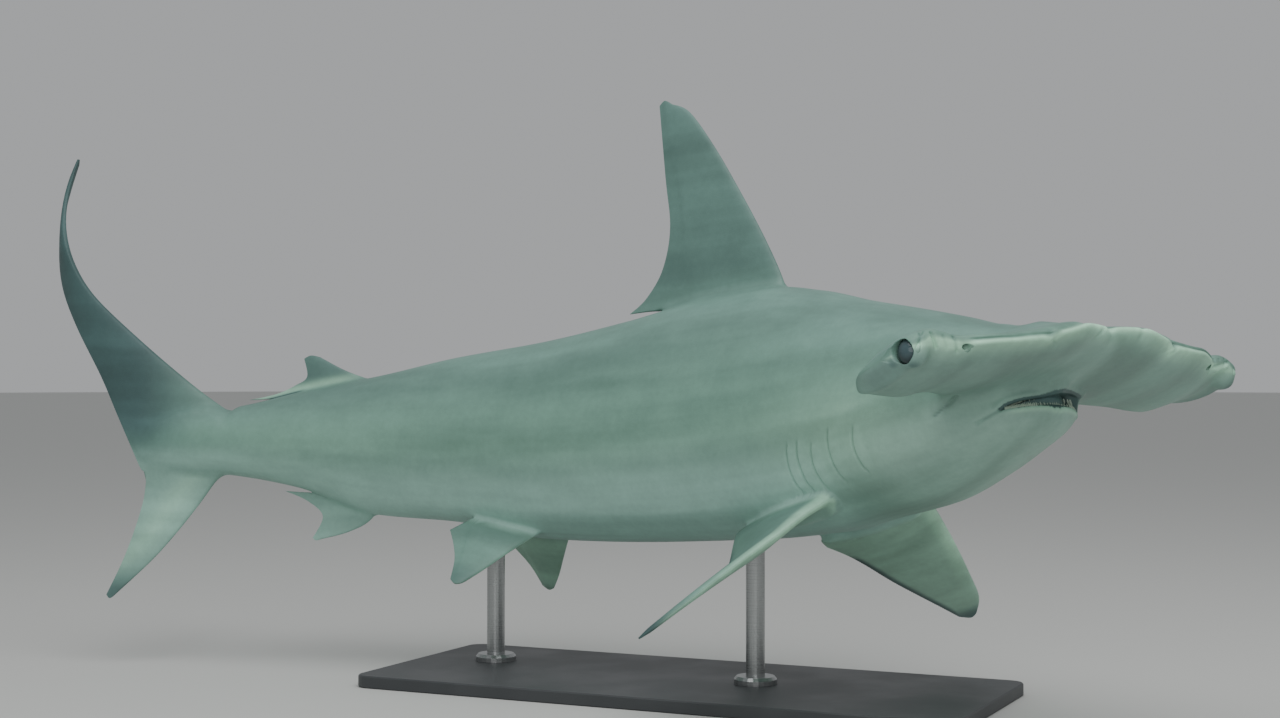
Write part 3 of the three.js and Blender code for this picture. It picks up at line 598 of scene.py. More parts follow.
def ball(name, centre, radii, rings=48, sides=64):
    polar = np.linspace(0, math.pi, rings + 2)[1:-1, None]
    around = np.linspace(0, 2 * math.pi, sides, endpoint=False)[None, :]
    s = centre[0] + radii[0] * np.sin(polar) * np.cos(around)
    y = centre[1] + radii[1] * np.cos(polar) + 0 * around
    z = centre[2] + radii[2] * np.sin(polar) * np.sin(around)
    return loft(name, place(s, y, z))


def eyeAt(sign):
    return eye["s"], sign * eye["y"], eye["z"]


# The opening between the lids, a cone that widens outwards
def makeLidOpening(name, sign):
    around = np.linspace(0, 2 * math.pi, lid["sides"], endpoint=False)[None, :]
    share = np.linspace(0, 1, lid["rings"])[:, None]
    radius = lid["openInner"] + (lid["openOuter"] - lid["openInner"]) * share
    s, y, z = eyeAt(sign)
    out = y + sign * (lid["from"] + (lid["to"] - lid["from"]) * share)
    return loft(name, place(s + radius * np.cos(around), out + 0 * around, z + radius * np.sin(around)))


# The skin: every form of flesh as one closed surface
softening = {
    "hammer": [1.7, 150], "first_dorsal": [0.6, 12], "second_dorsal": [0.3, 8], "anal": [0.3, 8],
    "tail_upper": [0.6, 14], "tail_lower": [0.9, 30], "pectoral": [0.6, 12], "pelvic": [0.3, 8],
    "lid": [0.8, 30], "gape": [0.2, 10], "opening": [0.12, 4], "nostril": [0.15, 4],
}  # how far from the join in percent, and how often


# One boolean, and a fillet along the join with each piece except the eyes' sockets
def joined(name, first, others, operation):
    names = [piece.name for piece in others if not piece.name.startswith("socket")]
    made = combined(name, first, others, operation)
    for part in names:
        soften(made, part, *softening[part.removesuffix("_left").removesuffix("_right")])
    return made


def makeSkin():
    medianFins = {
        "first_dorsal": firstDorsal, "second_dorsal": secondDorsal, "anal": analFin,
        "tail_upper": upperLobe, "tail_lower": lowerLobe,
    }
    parts = [makeHammer(), *(makeFin(name, fin, medianPut) for name, fin in medianFins.items())]
    for side in ("left", "right"):
        for name, fin in (("pectoral_", pectoral), ("pelvic_", pelvic)):
            parts.append(makeFin(name + side, fin, pairedPut(fin, side)))
    print("parts made")
    flesh = joined("flesh", makeTrunk(), parts, "UNION")
    grown = (eye["radius"] + lid["cover"],) * 3
    lids = [ball("lid_left", eyeAt(1), grown), ball("lid_right", eyeAt(-1), grown)]
    flesh = joined("flesh_lidded", flesh, lids, "UNION")
    cutters = [makeGape()]
    for name, sign in (("left", 1), ("right", -1)):
        socket = (eye["radius"] + eye["gap"],) * 3
        cutters.append(ball("socket_" + name, eyeAt(sign), socket))
        cutters.append(makeLidOpening("opening_" + name, sign))
        at = (hammerLead(nostril["y"]) + nostril["ahead"], sign * nostril["y"], nostril["z"])
        cutters.append(ball("nostril_" + name, at, nostril["radii"], 24, 32))
    return joined("shark_skin", flesh, cutters, "DIFFERENCE")


# Creases of the head: [height, width, side, line of (s, y, z)], where side 0 is both, 1 left and -1 right
creases = [
    # From the mouth's corner, and where the wing meets the cheek
    [-0.15, 0.09, 0, [[7.1, 3.0, -2.83], [7.86, 3.28, -3.08], [8.6, 3.54, -3.31]]],
    [-0.2, 0.1, 0, [[8.7, 4.6, -1.7], [8.82, 4.54, -1.73], [10.0, 4.34, -2.01], [10.8, 4.44, -2.34]]],
    # Between the nostril and the eye, and at the nostril
    [-0.17, 0.1, 0, [[3.02, 11.99, -0.05], [3.0, 12.2, -0.6], [3.08, 12.35, -1.13]]],
    [-0.16, 0.1, 0, [[2.73, 11.5, -0.2], [2.8, 11.4, -0.5], [3.12, 11.02, -0.93]]],
    [-0.14, 0.1, 0, [[2.58, 10.2, -0.45], [2.6, 10.1, -0.6], [2.86, 9.83, -1.15]]],
    [-0.22, 0.13, 0, [[2.4, 9.42, -1.15], [2.5, 9.55, -0.9], [2.7, 9.75, -0.7], [3.1, 9.85, -0.4]]],
    [-0.06, 0.1, 0, [[2.7, 10.8, -0.4], [3.0, 10.4, -1.0]]],
    # The side dents and the middle notch of the hammer
    [-0.08, 0.14, 0, [[0.9, 4.75, 0], [0.95, 4.7, -0.5], [1.25, 4.1, -1.02]]],
    [-0.07, 0.12, -1, [[0.7, 0.6, 0.2], [0.69, 0.8, -0.05], [0.91, 1.51, -0.7]]],
    [-0.07, 0.15, 1, [[0.5, 2.1, 0.2], [0.6, 1.9, -0.5], [1.3, 1.8, -1.1]]],
    [-0.05, 0.3, 0, [[1.2, 0, 0.8], [0.85, 0, 0], [1.1, 0, -0.8]]],
    [-0.1, 0.12, 1, [[0.8, 4.7, -0.4], [0.98, 5.0, -0.74], [1.34, 4.76, -1.0]]],
    # The far nostril and its lip
    [-0.13, 0.1, 1, [[2.7, 10.05, -0.9], [2.78, 10.62, -0.76], [2.9, 11.24, -0.59], [2.75, 11.75, -0.48]]],
    [0.1, 0.15, 1, [[2.9, 10.3, -1.08], [3.0, 10.76, -0.98], [2.88, 11.5, -0.78]]],
]
rim = {
    "from": [0.5, 4.9], "to": [3.9, 9.1], "fade": 0.5,  # where the front edge has its raised rim, which also carries a painted highlight
    "levels": [
        [0, 0.22], [2.2, 0.1], [3.2, -0.05], [4.1, -0.13],
        [4.8, -0.3], [5.4, -0.2], [6.5, -0.16], [9.3, -0.3],
    ],  # its height at y, of the half thickness
    "height": 0.12, "width": 0.13, "groove": 0.1, "grooveAbove": 0.27, "grooveWidth": 0.1,
    "behind": [0.8, 1.8],  # it fades this far behind the front edge
}
rimLevel = through(rim["levels"])


def distanceToLine(points, line):
    nearest = np.full(len(points), farAway)
    for start, end in zip(line[:-1], line[1:]):
        along = end - start
        share = np.clip((points - start) @ along / (along @ along), 0, 1)[:, None]
        nearest = np.minimum(nearest, np.linalg.norm(points - start - share * along, axis=1))
    return nearest


# Each crease's height and how fully it is there at the points
def creasesAt(s, y, z):
    points = np.stack([s, np.abs(y), z], 1)
    for height, width, side, line in creases:
        held = (side == 0) | (y * side > 0)
        yield height, held * bump(distanceToLine(points, np.array(line, float)), 0, width)


def headRelief(s, y, z):
    out = np.abs(y)
    relief = sum(height * there for height, there in creasesAt(s, y, z))
    level = (z - hammerMiddle(s, y)) / hammerHalf(out)
    ahead = 1 - smooth(*rim["behind"], s - hammerLead(out))
    for start, end in zip(rim["from"], rim["to"]):
        window = smooth(start - rim["fade"], start, out) * (1 - smooth(end, end + rim["fade"], out)) * ahead
        relief += window * rim["height"] * bump(level, rimLevel(out), rim["width"])
        relief -= window * rim["groove"] * bump(level, rimLevel(out) + rim["grooveAbove"], rim["grooveWidth"])
    return relief


carved = {"middle": 6.0, "reach": 16, "firstGuess": 5.0, "fades": [11.5, 12.5]}  # where the creases are


def lipDistance(mesh, points):
    return distanceTo(points, pointsOf(mesh)[joinPoints(mesh, "gape")], mouth["lipReach"] * percent) / percent


# Raises each lip, and carves the creases of the head
def carveHead(mesh):
    points = pointsOf(mesh)
    away = np.linalg.norm(points - spineAt(carved["middle"]), axis=1)
    near = np.flatnonzero(away < carved["reach"] * percent)
    s, y, z = unplace(points[near], np.full(len(near), carved["firstGuess"]))
    relief = headRelief(s, y, z) * (1 - smooth(*carved["fades"], s))
    relief += mouth["lipSwell"] * bump(lipDistance(mesh, points[near]), mouth["lipAt"], mouth["lipWidth"])
    points[near] += normalsOf(mesh)[near] * (relief * percent)[:, None]
    moveTo(mesh, points)
    print("head carved")


skin = makeSkin()
carveHead(skin.data)
shadeSmooth(skin.data)
print("skin made:", len(skin.data.polygons), "faces")


# Markings, with painted shade and painted highlights among them, as values from 0 to 1 on every point of the
# skin
markings = {
    "bellyEdge": [-0.75, 0.0], "throatEdge": [-0.6, 0.2], "backEdge": [0.1, 0.95],  # height over the waist
    # the pale belly starts behind the head; ahead of it and on the paired fins the underside takes a dimmer
    # colour, painted shade
    "bellyFrom": [16, 24], "bellyFades": [48, 66], "bellyFaded": 0.45, "throatTo": [14, 22],
    "wingOut": [3, 5], "wingOver": [-2.5, -1.9], "wingTo": [9, 12],  # where the hammer's own height counts
    "marginEdge": [0.7, 0.15], "marginTip": [11.3, 12.8], "marginFrom": [1.5, 3], "marginDepth": 0.95,
    # how dark the painted shade in the creases is, for each unit of a crease's depth
    "creaseShade": 2.5,
    # painted shadow below and behind each eye: [s, y, z], with its width and darkness
    "eyeShadows": [[4.6, 12.85, -1.5], [3.65, 12.3, -1.8]], "patchWidth": 0.5, "patchDepth": 0.8,
    # painted highlights on the bulges of the hammer's front between each nostril and eye
    "highlightSpots": [
        [2.8, -10.6, -0.75, 0.28], [2.6, -10.1, -0.85, 0.24], [2.9, -11.5, -0.6, 0.3],
        [3.0, 10.6, -1.0, 0.25], [3.0, 11.1, -0.9, 0.25], [2.9, 11.6, -0.8, 0.25],
    ],  # [s, y, z, size]
    "spotStrength": 0.7,
    "hollows": {"gape": 1, "nostril_left": 0.55, "nostril_right": 0.55},  # how dark each is painted: the mouth's own lining colour with painted shade in the gape, and painted shade in the nostrils
}

# A mark: [its strength, edges, peaks, values]. It is that strong where all its edges, [start, full] or
# [start, full, full, end] along a measure, and all its peaks, [middle, width], are full, times the values
pairedFins = [1, {"off": [0.2, 1.2], "z": [-3.5, -4.5], "s": [17, 19, 55, 57]}]
pectoralFins = [1, {"off": [0.3, 0.31], "z": [-3.5, -3.51], "s": [15, 15.01, 35.99, 36]}]
# the band along each pectoral's leading edge that takes a painted highlight
pectoralFront = [1, {"behindFront": [1.2, 0.2], "span": [11, 4]}]
# The dark marks: the fins' own dusky parts, and painted shade under the hammer, in the slit under the second
# dorsal's free tip, in the creases and below the eyes
duskAndShadeMarks = {
    "dorsal": [0.315, {"off": [0.2, 2.5], "s": [26, 27, 42, 43], "z": [6, 6.01]}],
    "dorsalTip": [0.105, {"off": [0.2, 2.5], "s": [26, 27, 42, 43], "z": [18, 23]}],
    "secondDorsal": [0.45, {"off": [0.1, 1.2], "s": [61, 62.5, 69.5, 70.5], "z": [0, 0.01]}],
    # Painted shade on the back in the slit under the second dorsal's free rear tip
    "finSlitShade": [1, {"s": [65.5, 66.5, 69.5, 70.2], "out": [0.81, 0.8]}, {"overTop": [0.02, 0.1]}],
    "upperLobe": [0.9, {"s": [72.5, 78.5], "z": [-3.2, 1.2]}],
    "lowerLobeTip": [0.8, {"s": [74, 74.01], "z": [-8.5, -11.5]}],
    "pelvicTip": [0.4, {"out": [5.6, 7], "s": [46, 46.01, 55.99, 56], "z": [-6, -6.01]}],
    # Painted shade on the underside of the hammer's wings
    "underWingShade": [0.22, {"level": [-0.1, -0.8]}, {}, ["throat", "onWing"]],
    # Painted shade on the lower side of each wing tip
    "wingTipShade": [0.3, {"out": [11.5, 12.6], "level": [0.3, -0.2], "s": [12.01, 12]}],
}
# The pale marks: the shark's own paler parts, and painted highlights where surfaces face the light
paleAndHighlightMarks = {
    # rim and face: painted highlights on the hammer's front edge and on the face just below it, which face
    # the light
    "rim": [1, {"behindLead": [1.6, 0.4], "s": [12.01, 12]}, {"overRim": [0, 0.16]}],
    "face": [0.35, {"behindLead": [1.6, 0.4], "s": [12.01, 12]}, {"overRim": [-0.25, 0.3]}],
    "lip": [0.5, {"z": [-2.71, -2.72], "s": [7, 6.3]}, {"fromLip": [0.15, 0.15]}],
    "gills": [0.3, {"off": [0.81, 0.8]}, {"s": [18, 6], "z": [-1.5, 2.6]}],
    "flank": [0.06, {"s": [20, 26, 66, 72]}, {"z": [-0.6, 1.8]}],
    "secondDorsalBase": [0.6, {"s": [61, 63.5, 69, 70]}, {"overTop": [0.35, 0.3]}],
    # Painted highlight on the lower tail lobe near its leading edge, which faces the light
    "lowerLobe": [0.3, {"s": [71, 72], "z": [-11.5, -8.5, -3.2, -2.2]}, {"behindLobe": [1.9, 1.1]}],
    "pairedUnder": [0.4, {"faceUp": [0, -0.5]}, {}, ["onPaired"]],
    # Painted highlight on the pectorals' leading edges, which face the light
    "pectoralFront": [0.6, {}, {}, ["onFront"]],
}


def strengthOf(at, strength, edges, peaks=(), values=()):
    value = strength
    for measure, (start, full, *falling) in edges.items():
        value = value * smooth(start, full, at[measure])
        if falling:
            value = value * (1 - smooth(*falling, at[measure]))
    for measure in peaks:
        value = value * bump(at[measure], *peaks[measure])
    for name in values:
        value = value * at[name]
    return value


def setValues(mesh, name, values):
    kind = "FLOAT_VECTOR" if values.ndim > 1 else "FLOAT"
    layer = mesh.attributes.new(name, kind, "POINT")
    layer.data.foreach_set("vector" if values.ndim > 1 else "value", values.astype(np.float32).ravel())


def nearestStation(points):
    first = np.zeros(len(points))
    for i in range(0, len(points), 20000):
        away = points[i:i + 20000, None, :] - spinePoints[None, ::4, :]
        first[i:i + 20000] = spineStations[::4][np.argmin((away ** 2).sum(-1), axis=1)]
    return first


# Where points lie in the plane of a paired fin: back along the body and out from the root
def finPlace(fin, side, points):
    origin, forward, out, flat = finFrame(fin, side)
    sweep = math.radians(fin[side]["swept"])
    span = (points - origin) @ out / percent
    tilt = tiltAt(fin, side, span)
    back = ((origin - points) @ forward * np.cos(tilt) + (origin - points) @ flat * np.sin(tilt)) / percent
    return back * math.cos(sweep) - span * math.sin(sweep), back * math.sin(sweep) + span * math.cos(sweep)


# Where each point of the skin lies, by several measures in percent
def surveySkin(mesh):
    points = pointsOf(mesh)
    s, y, z = unplace(points, nearestStation(points))
    out = np.abs(y)
    level = (z - hammerMiddle(s, y)) / hammerHalf(out)
    lobeLead = np.array(lowerLobe["lead"])
    return {
        "points": points, "s": s, "y": y, "z": z, "out": out, "level": level,
        "off": trunkGap(s, y, z), "overTop": z - trunkTop(s), "fromLip": lipDistance(mesh, points),
        "behindLead": s - hammerLead(out), "overRim": level - rimLevel(out),
        "behindLobe": s - np.interp(-z, -lobeLead[:, 1], lobeLead[:, 0]),
        "faceUp": np.einsum("ij,ij->i", normalsOf(mesh), directionsAt(s)[2]),
    }


# The dark rear margins of the pectoral fins, and the painted highlight along their front edges, in the plane
# of each fin
def markPectorals(at):
    margins, fronts = np.zeros(len(at["s"])), np.zeros(len(at["s"]))
    lead, trail = np.array(pectoral["lead"]), np.array(pectoral["trail"])
    for side, sign in (("left", 1), ("right", -1)):
        behind, span = finPlace(pectoral, side, at["points"])
        fromTrail = np.interp(span, trail[:, 1], trail[:, 0]) - behind
        onFin = (at["y"] * sign > 0) * strengthOf(at, *pectoralFins)
        margin = np.maximum(smooth(*markings["marginEdge"], fromTrail), smooth(*markings["marginTip"], span))
        margins = np.maximum(margins, margin * smooth(*markings["marginFrom"], span) * onFin)
        measures = {"behindFront": behind - np.interp(span, lead[:, 1], lead[:, 0]), "span": span}
        fronts = np.maximum(fronts, strengthOf(measures, *pectoralFront) * onFin)
    return margins, fronts


# How far up each point lies or faces, from -1 underneath to 1 on top
def upwards(at):
    s, z = at["s"], at["z"]
    waist = trunkWaist(s)
    reach = np.where(z > waist, trunkTop(s) - waist, waist - trunkBottom(s))
    onTrunk, onWing = np.clip((z - waist) / reach, -1, 1), np.clip(at["level"], -1, 1)
    turned = onTrunk * (1 - at["onWing"]) + onWing * at["onWing"]
    return turned * (1 - at["onPaired"]) + at["faceUp"] * at["onPaired"]


def duskAndShadeOf(at, margins):
    duskAndShade = np.clip(sum(strengthOf(at, *mark) for mark in duskAndShadeMarks.values()), 0, 1)
    # Painted shade in the creases of the head, darker along deeper creases
    for height, there in creasesAt(at["s"], at["y"], at["z"]):
        duskAndShade = np.maximum(duskAndShade, markings["creaseShade"] * max(-height, 0) * there)
    # Painted shadow below and behind each eye
    for patch in markings["eyeShadows"]:
        away = np.linalg.norm(np.stack([at["s"], at["out"], at["z"]], 1) - patch, axis=1)
        duskAndShade = np.maximum(duskAndShade, markings["patchDepth"] * bump(away, 0, markings["patchWidth"]))
    return np.maximum(duskAndShade, markings["marginDepth"] * margins)


def paleAndHighlightOf(at, bodyAt):
    paleAndHighlight = sum(strengthOf(at, *mark) for mark in paleAndHighlightMarks.values())
    # Painted highlights on the bulges between the nostrils and the eyes
    for *spot, size in markings["highlightSpots"]:
        paleAndHighlight = paleAndHighlight + markings["spotStrength"] * bump(np.linalg.norm(bodyAt - spot, axis=1), 0, size)
    return np.clip(paleAndHighlight, 0, 1)


# Darkens the gape and the nostrils: the mouth's lining colour and painted shade in these hollows
def liningAndShadeOf(mesh):
    liningAndShade = np.zeros(len(mesh.vertices))
    names = [material.name for material in mesh.materials]
    corner, part = cornersOf(mesh)
    for hollow, depth in markings["hollows"].items():
        liningAndShade[corner[part == names.index(hollow)]] = depth
    return liningAndShade


def markSkin(mesh):
    at = surveySkin(mesh)
    s, y, z = at["s"], at["y"], at["z"]
    onWing = np.maximum(smooth(*markings["wingOut"], at["out"]), smooth(*markings["wingOver"], z))
    at["onWing"] = onWing * (1 - smooth(*markings["wingTo"], s))
    at["onPaired"] = strengthOf(at, *pairedFins)
    turned = upwards(at)
    belly = (1 - smooth(*markings["bellyEdge"], turned)) * smooth(*markings["bellyFrom"], s)
    belly = belly * (1 - markings["bellyFaded"] * smooth(*markings["bellyFades"], s))
    # The underside of the head and the paired fins: pale as in life, dimmed as painted shade
    throat = np.maximum(1 - smooth(*markings["throatTo"], s), at["onPaired"])
    at["throat"] = throat * (1 - smooth(*markings["throatEdge"], turned))
    margins, at["onFront"] = markPectorals(at)
    bodyAt = np.stack([s, y, z], 1)
    setValues(mesh, "bodyAt", bodyAt)
    setValues(mesh, "belly", belly)
    setValues(mesh, "throat", at["throat"])
    setValues(mesh, "back", smooth(*markings["backEdge"], turned))
    setValues(mesh, "duskAndShade", duskAndShadeOf(at, margins))
    setValues(mesh, "paleAndHighlight", paleAndHighlightOf(at, bodyAt))
    setValues(mesh, "liningAndShade", liningAndShadeOf(mesh))
    print("skin marked")


markSkin(skin.data)


# Materials
def hexColour(text):
    channels = [int(text[i:i + 2], 16) / 255 for i in (1, 3, 5)]
    return [c / 12.92 if c <= 0.04045 else ((c + 0.055) / 1.055) ** 2.4 for c in channels] + [1]


def addNode(tree, kind, inputs=None, **settings):
    made = tree.nodes.new("ShaderNode" + kind)
    for name, value in settings.items():
        setattr(made, name, value)
    for name, value in (inputs or {}).items():
        if isinstance(value, bpy.types.NodeSocket):
            tree.links.new(value, made.inputs[name])
        else:
            made.inputs[name].default_value = value
    return made


def newMaterial(name, **finish):
    material = bpy.data.materials.new(name)
    material.use_nodes = True
    shader = material.node_tree.nodes["Principled BSDF"]
    for socket, value in finish.items():
        shader.inputs[socket.replace("_", " ")].default_value = value
    return material, material.node_tree, shader


# Gives a shader its colours, each laid over the last where its value says, its roughness and its relief
def dress(tree, shader, look, base, layers, rough=None, relief=None):
    colour = hexColour(look[base])
    for name, value in layers.items():
        if name == "shade":
            inputs, way = {0: 1.0, 6: colour, 7: value}, "MULTIPLY"
        else:
            inputs, way = {0: value, 6: colour, 7: hexColour(look[name])}, "MIX"
        colour = addNode(tree, "Mix", inputs, data_type="RGBA", blend_type=way).outputs[2]
    tree.links.new(colour, shader.inputs["Base Color"])
    if rough is not None:
        low, high, less, more = look["rougher"]
        ranged = addNode(tree, "MapRange", {
            "Value": rough, "From Min": low, "From Max": high,
            "To Min": look["roughness"] + less, "To Max": look["roughness"] + more,
        }, interpolation_type="SMOOTHSTEP")
        tree.links.new(ranged.outputs[0], shader.inputs["Roughness"])
    if relief is not None:
        raised = addNode(tree, "Bump", {
            "Height": relief, "Strength": look["bump"], "Distance": look["bumpHeight"],
        })
        tree.links.new(raised.outputs[0], shader.inputs["Normal"])


# Living shark hide: a skin of tiny toothed scales, which gives a matt, slightly silky grey with soft
# bands along the body, paler below. The scales are 0.25 mm across; they are drawn at 2.4 mm to show
# The dark, pale and lining colours also carry painted shade and painted highlights, and the underside colour
# of the head is the belly's pale dimmed as painted shade
hide = {
    "flank": "#6c9283", "back": "#6d9186", "belly": "#9fc8bb", "throat": "#8aac9e", "paleAndHighlight": "#b8ebcc",
    "duskAndShade": "#3f5a5b", "liningAndShade": "#48625f",
    "roughness": 0.52, "rougher": [0.2, 0.8, -0.06, 0.08], "ior": 1.45,
    "scaleMm": 2.4, "bump": 0.05, "bumpHeight": 0.002,
    "mottleMm": 45, "grainMm": 9, "bandMm": 65, "bandLengthMm": 1300,
    "shades": {
        "bands": [0.3, 0.7, 0.8, 1.16], "mottle": [0.25, 0.75, 0.94, 1.06], "grain": [0.2, 0.8, 0.95, 1.05],
    },
}  # in rougher and shades: the noise from and to, and what it gives there


def makeHide():
    material, tree, shader = newMaterial("sharkHide", IOR=hide["ior"])
    places = addNode(tree, "TexCoord").outputs["Object"]
    body = addNode(tree, "Attribute", attribute_name="bodyAt").outputs["Vector"]
    across = percent * 1000 / hide["bandMm"]
    bandScale = (percent * 1000 / hide["bandLengthMm"], across, across)
    stretched = addNode(tree, "Mapping", {"Vector": body, "Scale": bandScale}).outputs[0]
    noises = {
        "bands": {"Vector": stretched, "Scale": 1, "Detail": 3, "Roughness": 0.5},
        "mottle": {"Vector": places, "Scale": 1000 / hide["mottleMm"], "Detail": 6, "Roughness": 0.62},
        "grain": {"Vector": places, "Scale": 1000 / hide["grainMm"], "Detail": 4, "Roughness": 0.7},
    }
    noises = {name: addNode(tree, "TexNoise", inputs).outputs[0] for name, inputs in noises.items()}
    shade = 1
    for name, (low, high, dark, light) in hide["shades"].items():
        ranged = addNode(tree, "MapRange", {
            "Value": noises[name], "From Min": low, "From Max": high, "To Min": dark, "To Max": light,
        }, interpolation_type="SMOOTHSTEP")
        shade = addNode(tree, "Math", {0: shade, 1: ranged.outputs[0]}, operation="MULTIPLY").outputs[0]
    shade = addNode(tree, "CombineColor", {"Red": shade, "Green": shade, "Blue": shade}).outputs[0]
    layers = {}
    for name in ("back", "belly", "throat", "paleAndHighlight", "duskAndShade", "shade", "liningAndShade"):
        mark = addNode(tree, "Attribute", attribute_name=name).outputs["Fac"]
        layers[name] = shade if name == "shade" else mark
    scales = addNode(tree, "TexVoronoi", {"Vector": places, "Scale": 1000 / hide["scaleMm"]})
    relief = addNode(tree, "Math", {0: scales.outputs["Distance"], 1: noises["mottle"]}, operation="ADD")
    dress(tree, shader, hide, "flank", layers, noises["mottle"], relief.outputs[0])
    return material


# The wet eye: a clear, glossy cornea over a dark iris that looks clouded in the middle
cornea = {
    "middle": "#43565a", "iris": "#2b393b", "rim": "#0c1011", "roughness": 0.08, "ior": 1.376,
    "rings": {"iris": [0.15, 0.55], "rim": [0.55, 0.8]},  # as shares of a quarter turn from the middle
}


def makeCornea():
    material, tree, shader = newMaterial("wetCornea", Roughness=cornea["roughness"], IOR=cornea["ior"])
    fromPupil = addNode(tree, "Attribute", attribute_name="fromPupil").outputs["Fac"]
    layers = {}
    for ring, (start, full) in cornea["rings"].items():
        layers[ring] = addNode(tree, "MapRange", {
            "Value": fromPupil, "From Min": start, "From Max": full,
        }, interpolation_type="SMOOTHSTEP").outputs[0]
    dress(tree, shader, cornea, "middle", layers)
    return material


# Enamel: hard and smooth, ivory white, dulled here by water and shade, and darker at the root
enamel = {"crown": "#b9cab8", "root": "#a3b5a4", "roughness": 0.3, "ior": 1.62}


def makeEnamel():
    material, tree, shader = newMaterial("toothEnamel", Roughness=enamel["roughness"], IOR=enamel["ior"])
    crown = addNode(tree, "Attribute", attribute_name="crown").outputs["Fac"]
    dress(tree, shader, enamel, "root", {"crown": crown})
    return material


# Powder-coated steel plate: baked polyester powder, satin, with a fine orange peel of about 1.6 mm
powder = {
    "colour": "#3a3d3f", "worn": "#4b4e50", "roughness": 0.46, "rougher": [0.3, 0.7, -0.05, 0.07], "ior": 1.5,
    "dustMm": 140, "dustFrom": [0.35, 0.75], "dustMost": 0.5,
    "peelMm": 1.6, "bump": 0.12, "bumpHeight": 0.0004,
}


def makePowderCoat():
    material, tree, shader = newMaterial("powderCoatedSteel", IOR=powder["ior"])
    places = addNode(tree, "TexCoord").outputs["Object"]
    dustScale, peelScale = 1000 / powder["dustMm"], 1000 / powder["peelMm"]
    dust = addNode(tree, "TexNoise", {"Vector": places, "Scale": dustScale, "Detail": 5}).outputs[0]
    peel = addNode(tree, "TexNoise", {"Vector": places, "Scale": peelScale, "Detail": 1}).outputs[0]
    low, high = powder["dustFrom"]
    dusty = addNode(tree, "MapRange", {
        "Value": dust, "From Min": low, "From Max": high, "To Max": powder["dustMost"],
    }, interpolation_type="SMOOTHSTEP").outputs[0]
    dress(tree, shader, powder, "colour", {"worn": dusty}, dust, peel)
    return material


# Brushed stainless steel: turned bar, linished round its girth, so fine rings catch the light.
# The lines are 0.1 mm apart and are drawn 0.8 mm apart to show
brushed = {
    "colour": "#b9bbbb", "dark": "#8f9292", "roughness": 0.3, "rougher": [0.2, 0.8, -0.08, 0.1],
    "lineMm": 0.8, "breaksPerMetre": 6, "bump": 0.1, "bumpHeight": 0.0002,
}


def makeBrushedSteel():
    material, tree, shader = newMaterial("brushedSteel", Metallic=1.0)
    places = addNode(tree, "TexCoord").outputs["Object"]
    lineScale = (brushed["breaksPerMetre"], brushed["breaksPerMetre"], 1000 / brushed["lineMm"])
    thin = addNode(tree, "Mapping", {"Vector": places, "Scale": lineScale}).outputs[0]
    lines = addNode(tree, "TexNoise", {"Vector": thin, "Scale": 1, "Detail": 3, "Roughness": 0.7}).outputs[0]
    dress(tree, shader, brushed, "dark", {"colour": lines}, lines, lines)
    return material


skin.data.materials.clear()
skin.data.materials.append(makeHide())
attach(skin, "root")
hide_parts(*[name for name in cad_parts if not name.startswith(("stand_", "eye_"))])

eyeMaterial = makeCornea()
for name, sign in (("left", 1), ("right", -1)):
    eyeball = ball("eyeball_" + name, eyeAt(sign), (eye["radius"],) * 3)
    forward, left, up = directionsAt(np.array(eye["s"]))
    turned = math.radians(eye["turned"])
    looks = left * sign * math.cos(turned) + forward * math.sin(turned)
    away = pointsOf(eyeball.data) - place(*eyeAt(sign))
    angle = np.arccos(np.clip(away @ looks / np.linalg.norm(away, axis=1), -1, 1))
    setValues(eyeball.data, "fromPupil", angle / (math.pi / 2))
    shadeSmooth(eyeball.data)
    eyeball.data.materials.append(eyeMaterial)
    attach(eyeball, "root")
    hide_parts("eye_" + name)
print("eyes set")

teeth = {
    "count": 52, "rows": 2, "rowGap": 0.17, "from": 0.14, "seed": 4,
    "height": [0.1, 0.24], "inset": [0.5, 0.12],  # upper and lower
    "uneven": [0.75, 1.1], "cornerHeight": 0.55,  # they are lower towards the mouth's corners
    "radius": 0.06, "flat": 0.7, "sunk": 0.12, "lean": 0.075, "sides": 6,
    "profile": [[-1, 1.0], [0, 1.0], [0.55, 0.62]],  # the height and width of its rings, -1 at the root
    "jawFront": 5.75, "jawBluntness": 1.6, "jawClosing": 4,
}


# The jaw's edge at a share of the way from the right corner round the front to the left one
def jawEdge(share, jaw, inset):
    turn = share * math.pi
    reach = np.abs(np.cos(turn))
    front = teeth["jawFront"] + inset
    s = front + (mouth["corner"] - front) * reach ** teeth["jawBluntness"]
    z = gapeHeight(s, jaw)
    down = np.clip((trunkWaist(s) - z) / (trunkWaist(s) - trunkBottom(s)), 0, 1) ** (1 / trunk["belly"])
    half = trunkHalfWidth(s) * np.sqrt(1 - np.minimum(down, 1) ** 2) ** trunk["flank"]
    y = np.maximum(half - inset, 0) * np.minimum(1, reach * teeth["jawClosing"])
    return s, -np.sign(np.cos(turn)) * y, z


# One tooth as rings of points with a point at each end: [s, y, z, share of the crown]
def toothPoints(s, y, z, tall, way):
    points = []
    for part, size in teeth["profile"]:
        height = z + way * (teeth["sunk"] * part if part < 0 else tall * part)
        for k in range(teeth["sides"]):
            turn = 2 * math.pi * k / teeth["sides"]
            deep, wide = teeth["radius"] * size * math.cos(turn), teeth["radius"] * size * math.sin(turn)
            points.append([s + deep, y + teeth["flat"] * wide, height, max(part, 0)])
    return points + [[s + teeth["lean"] * tall, y, z + way * tall, 1], [s, y, z - way * teeth["sunk"], 0]]


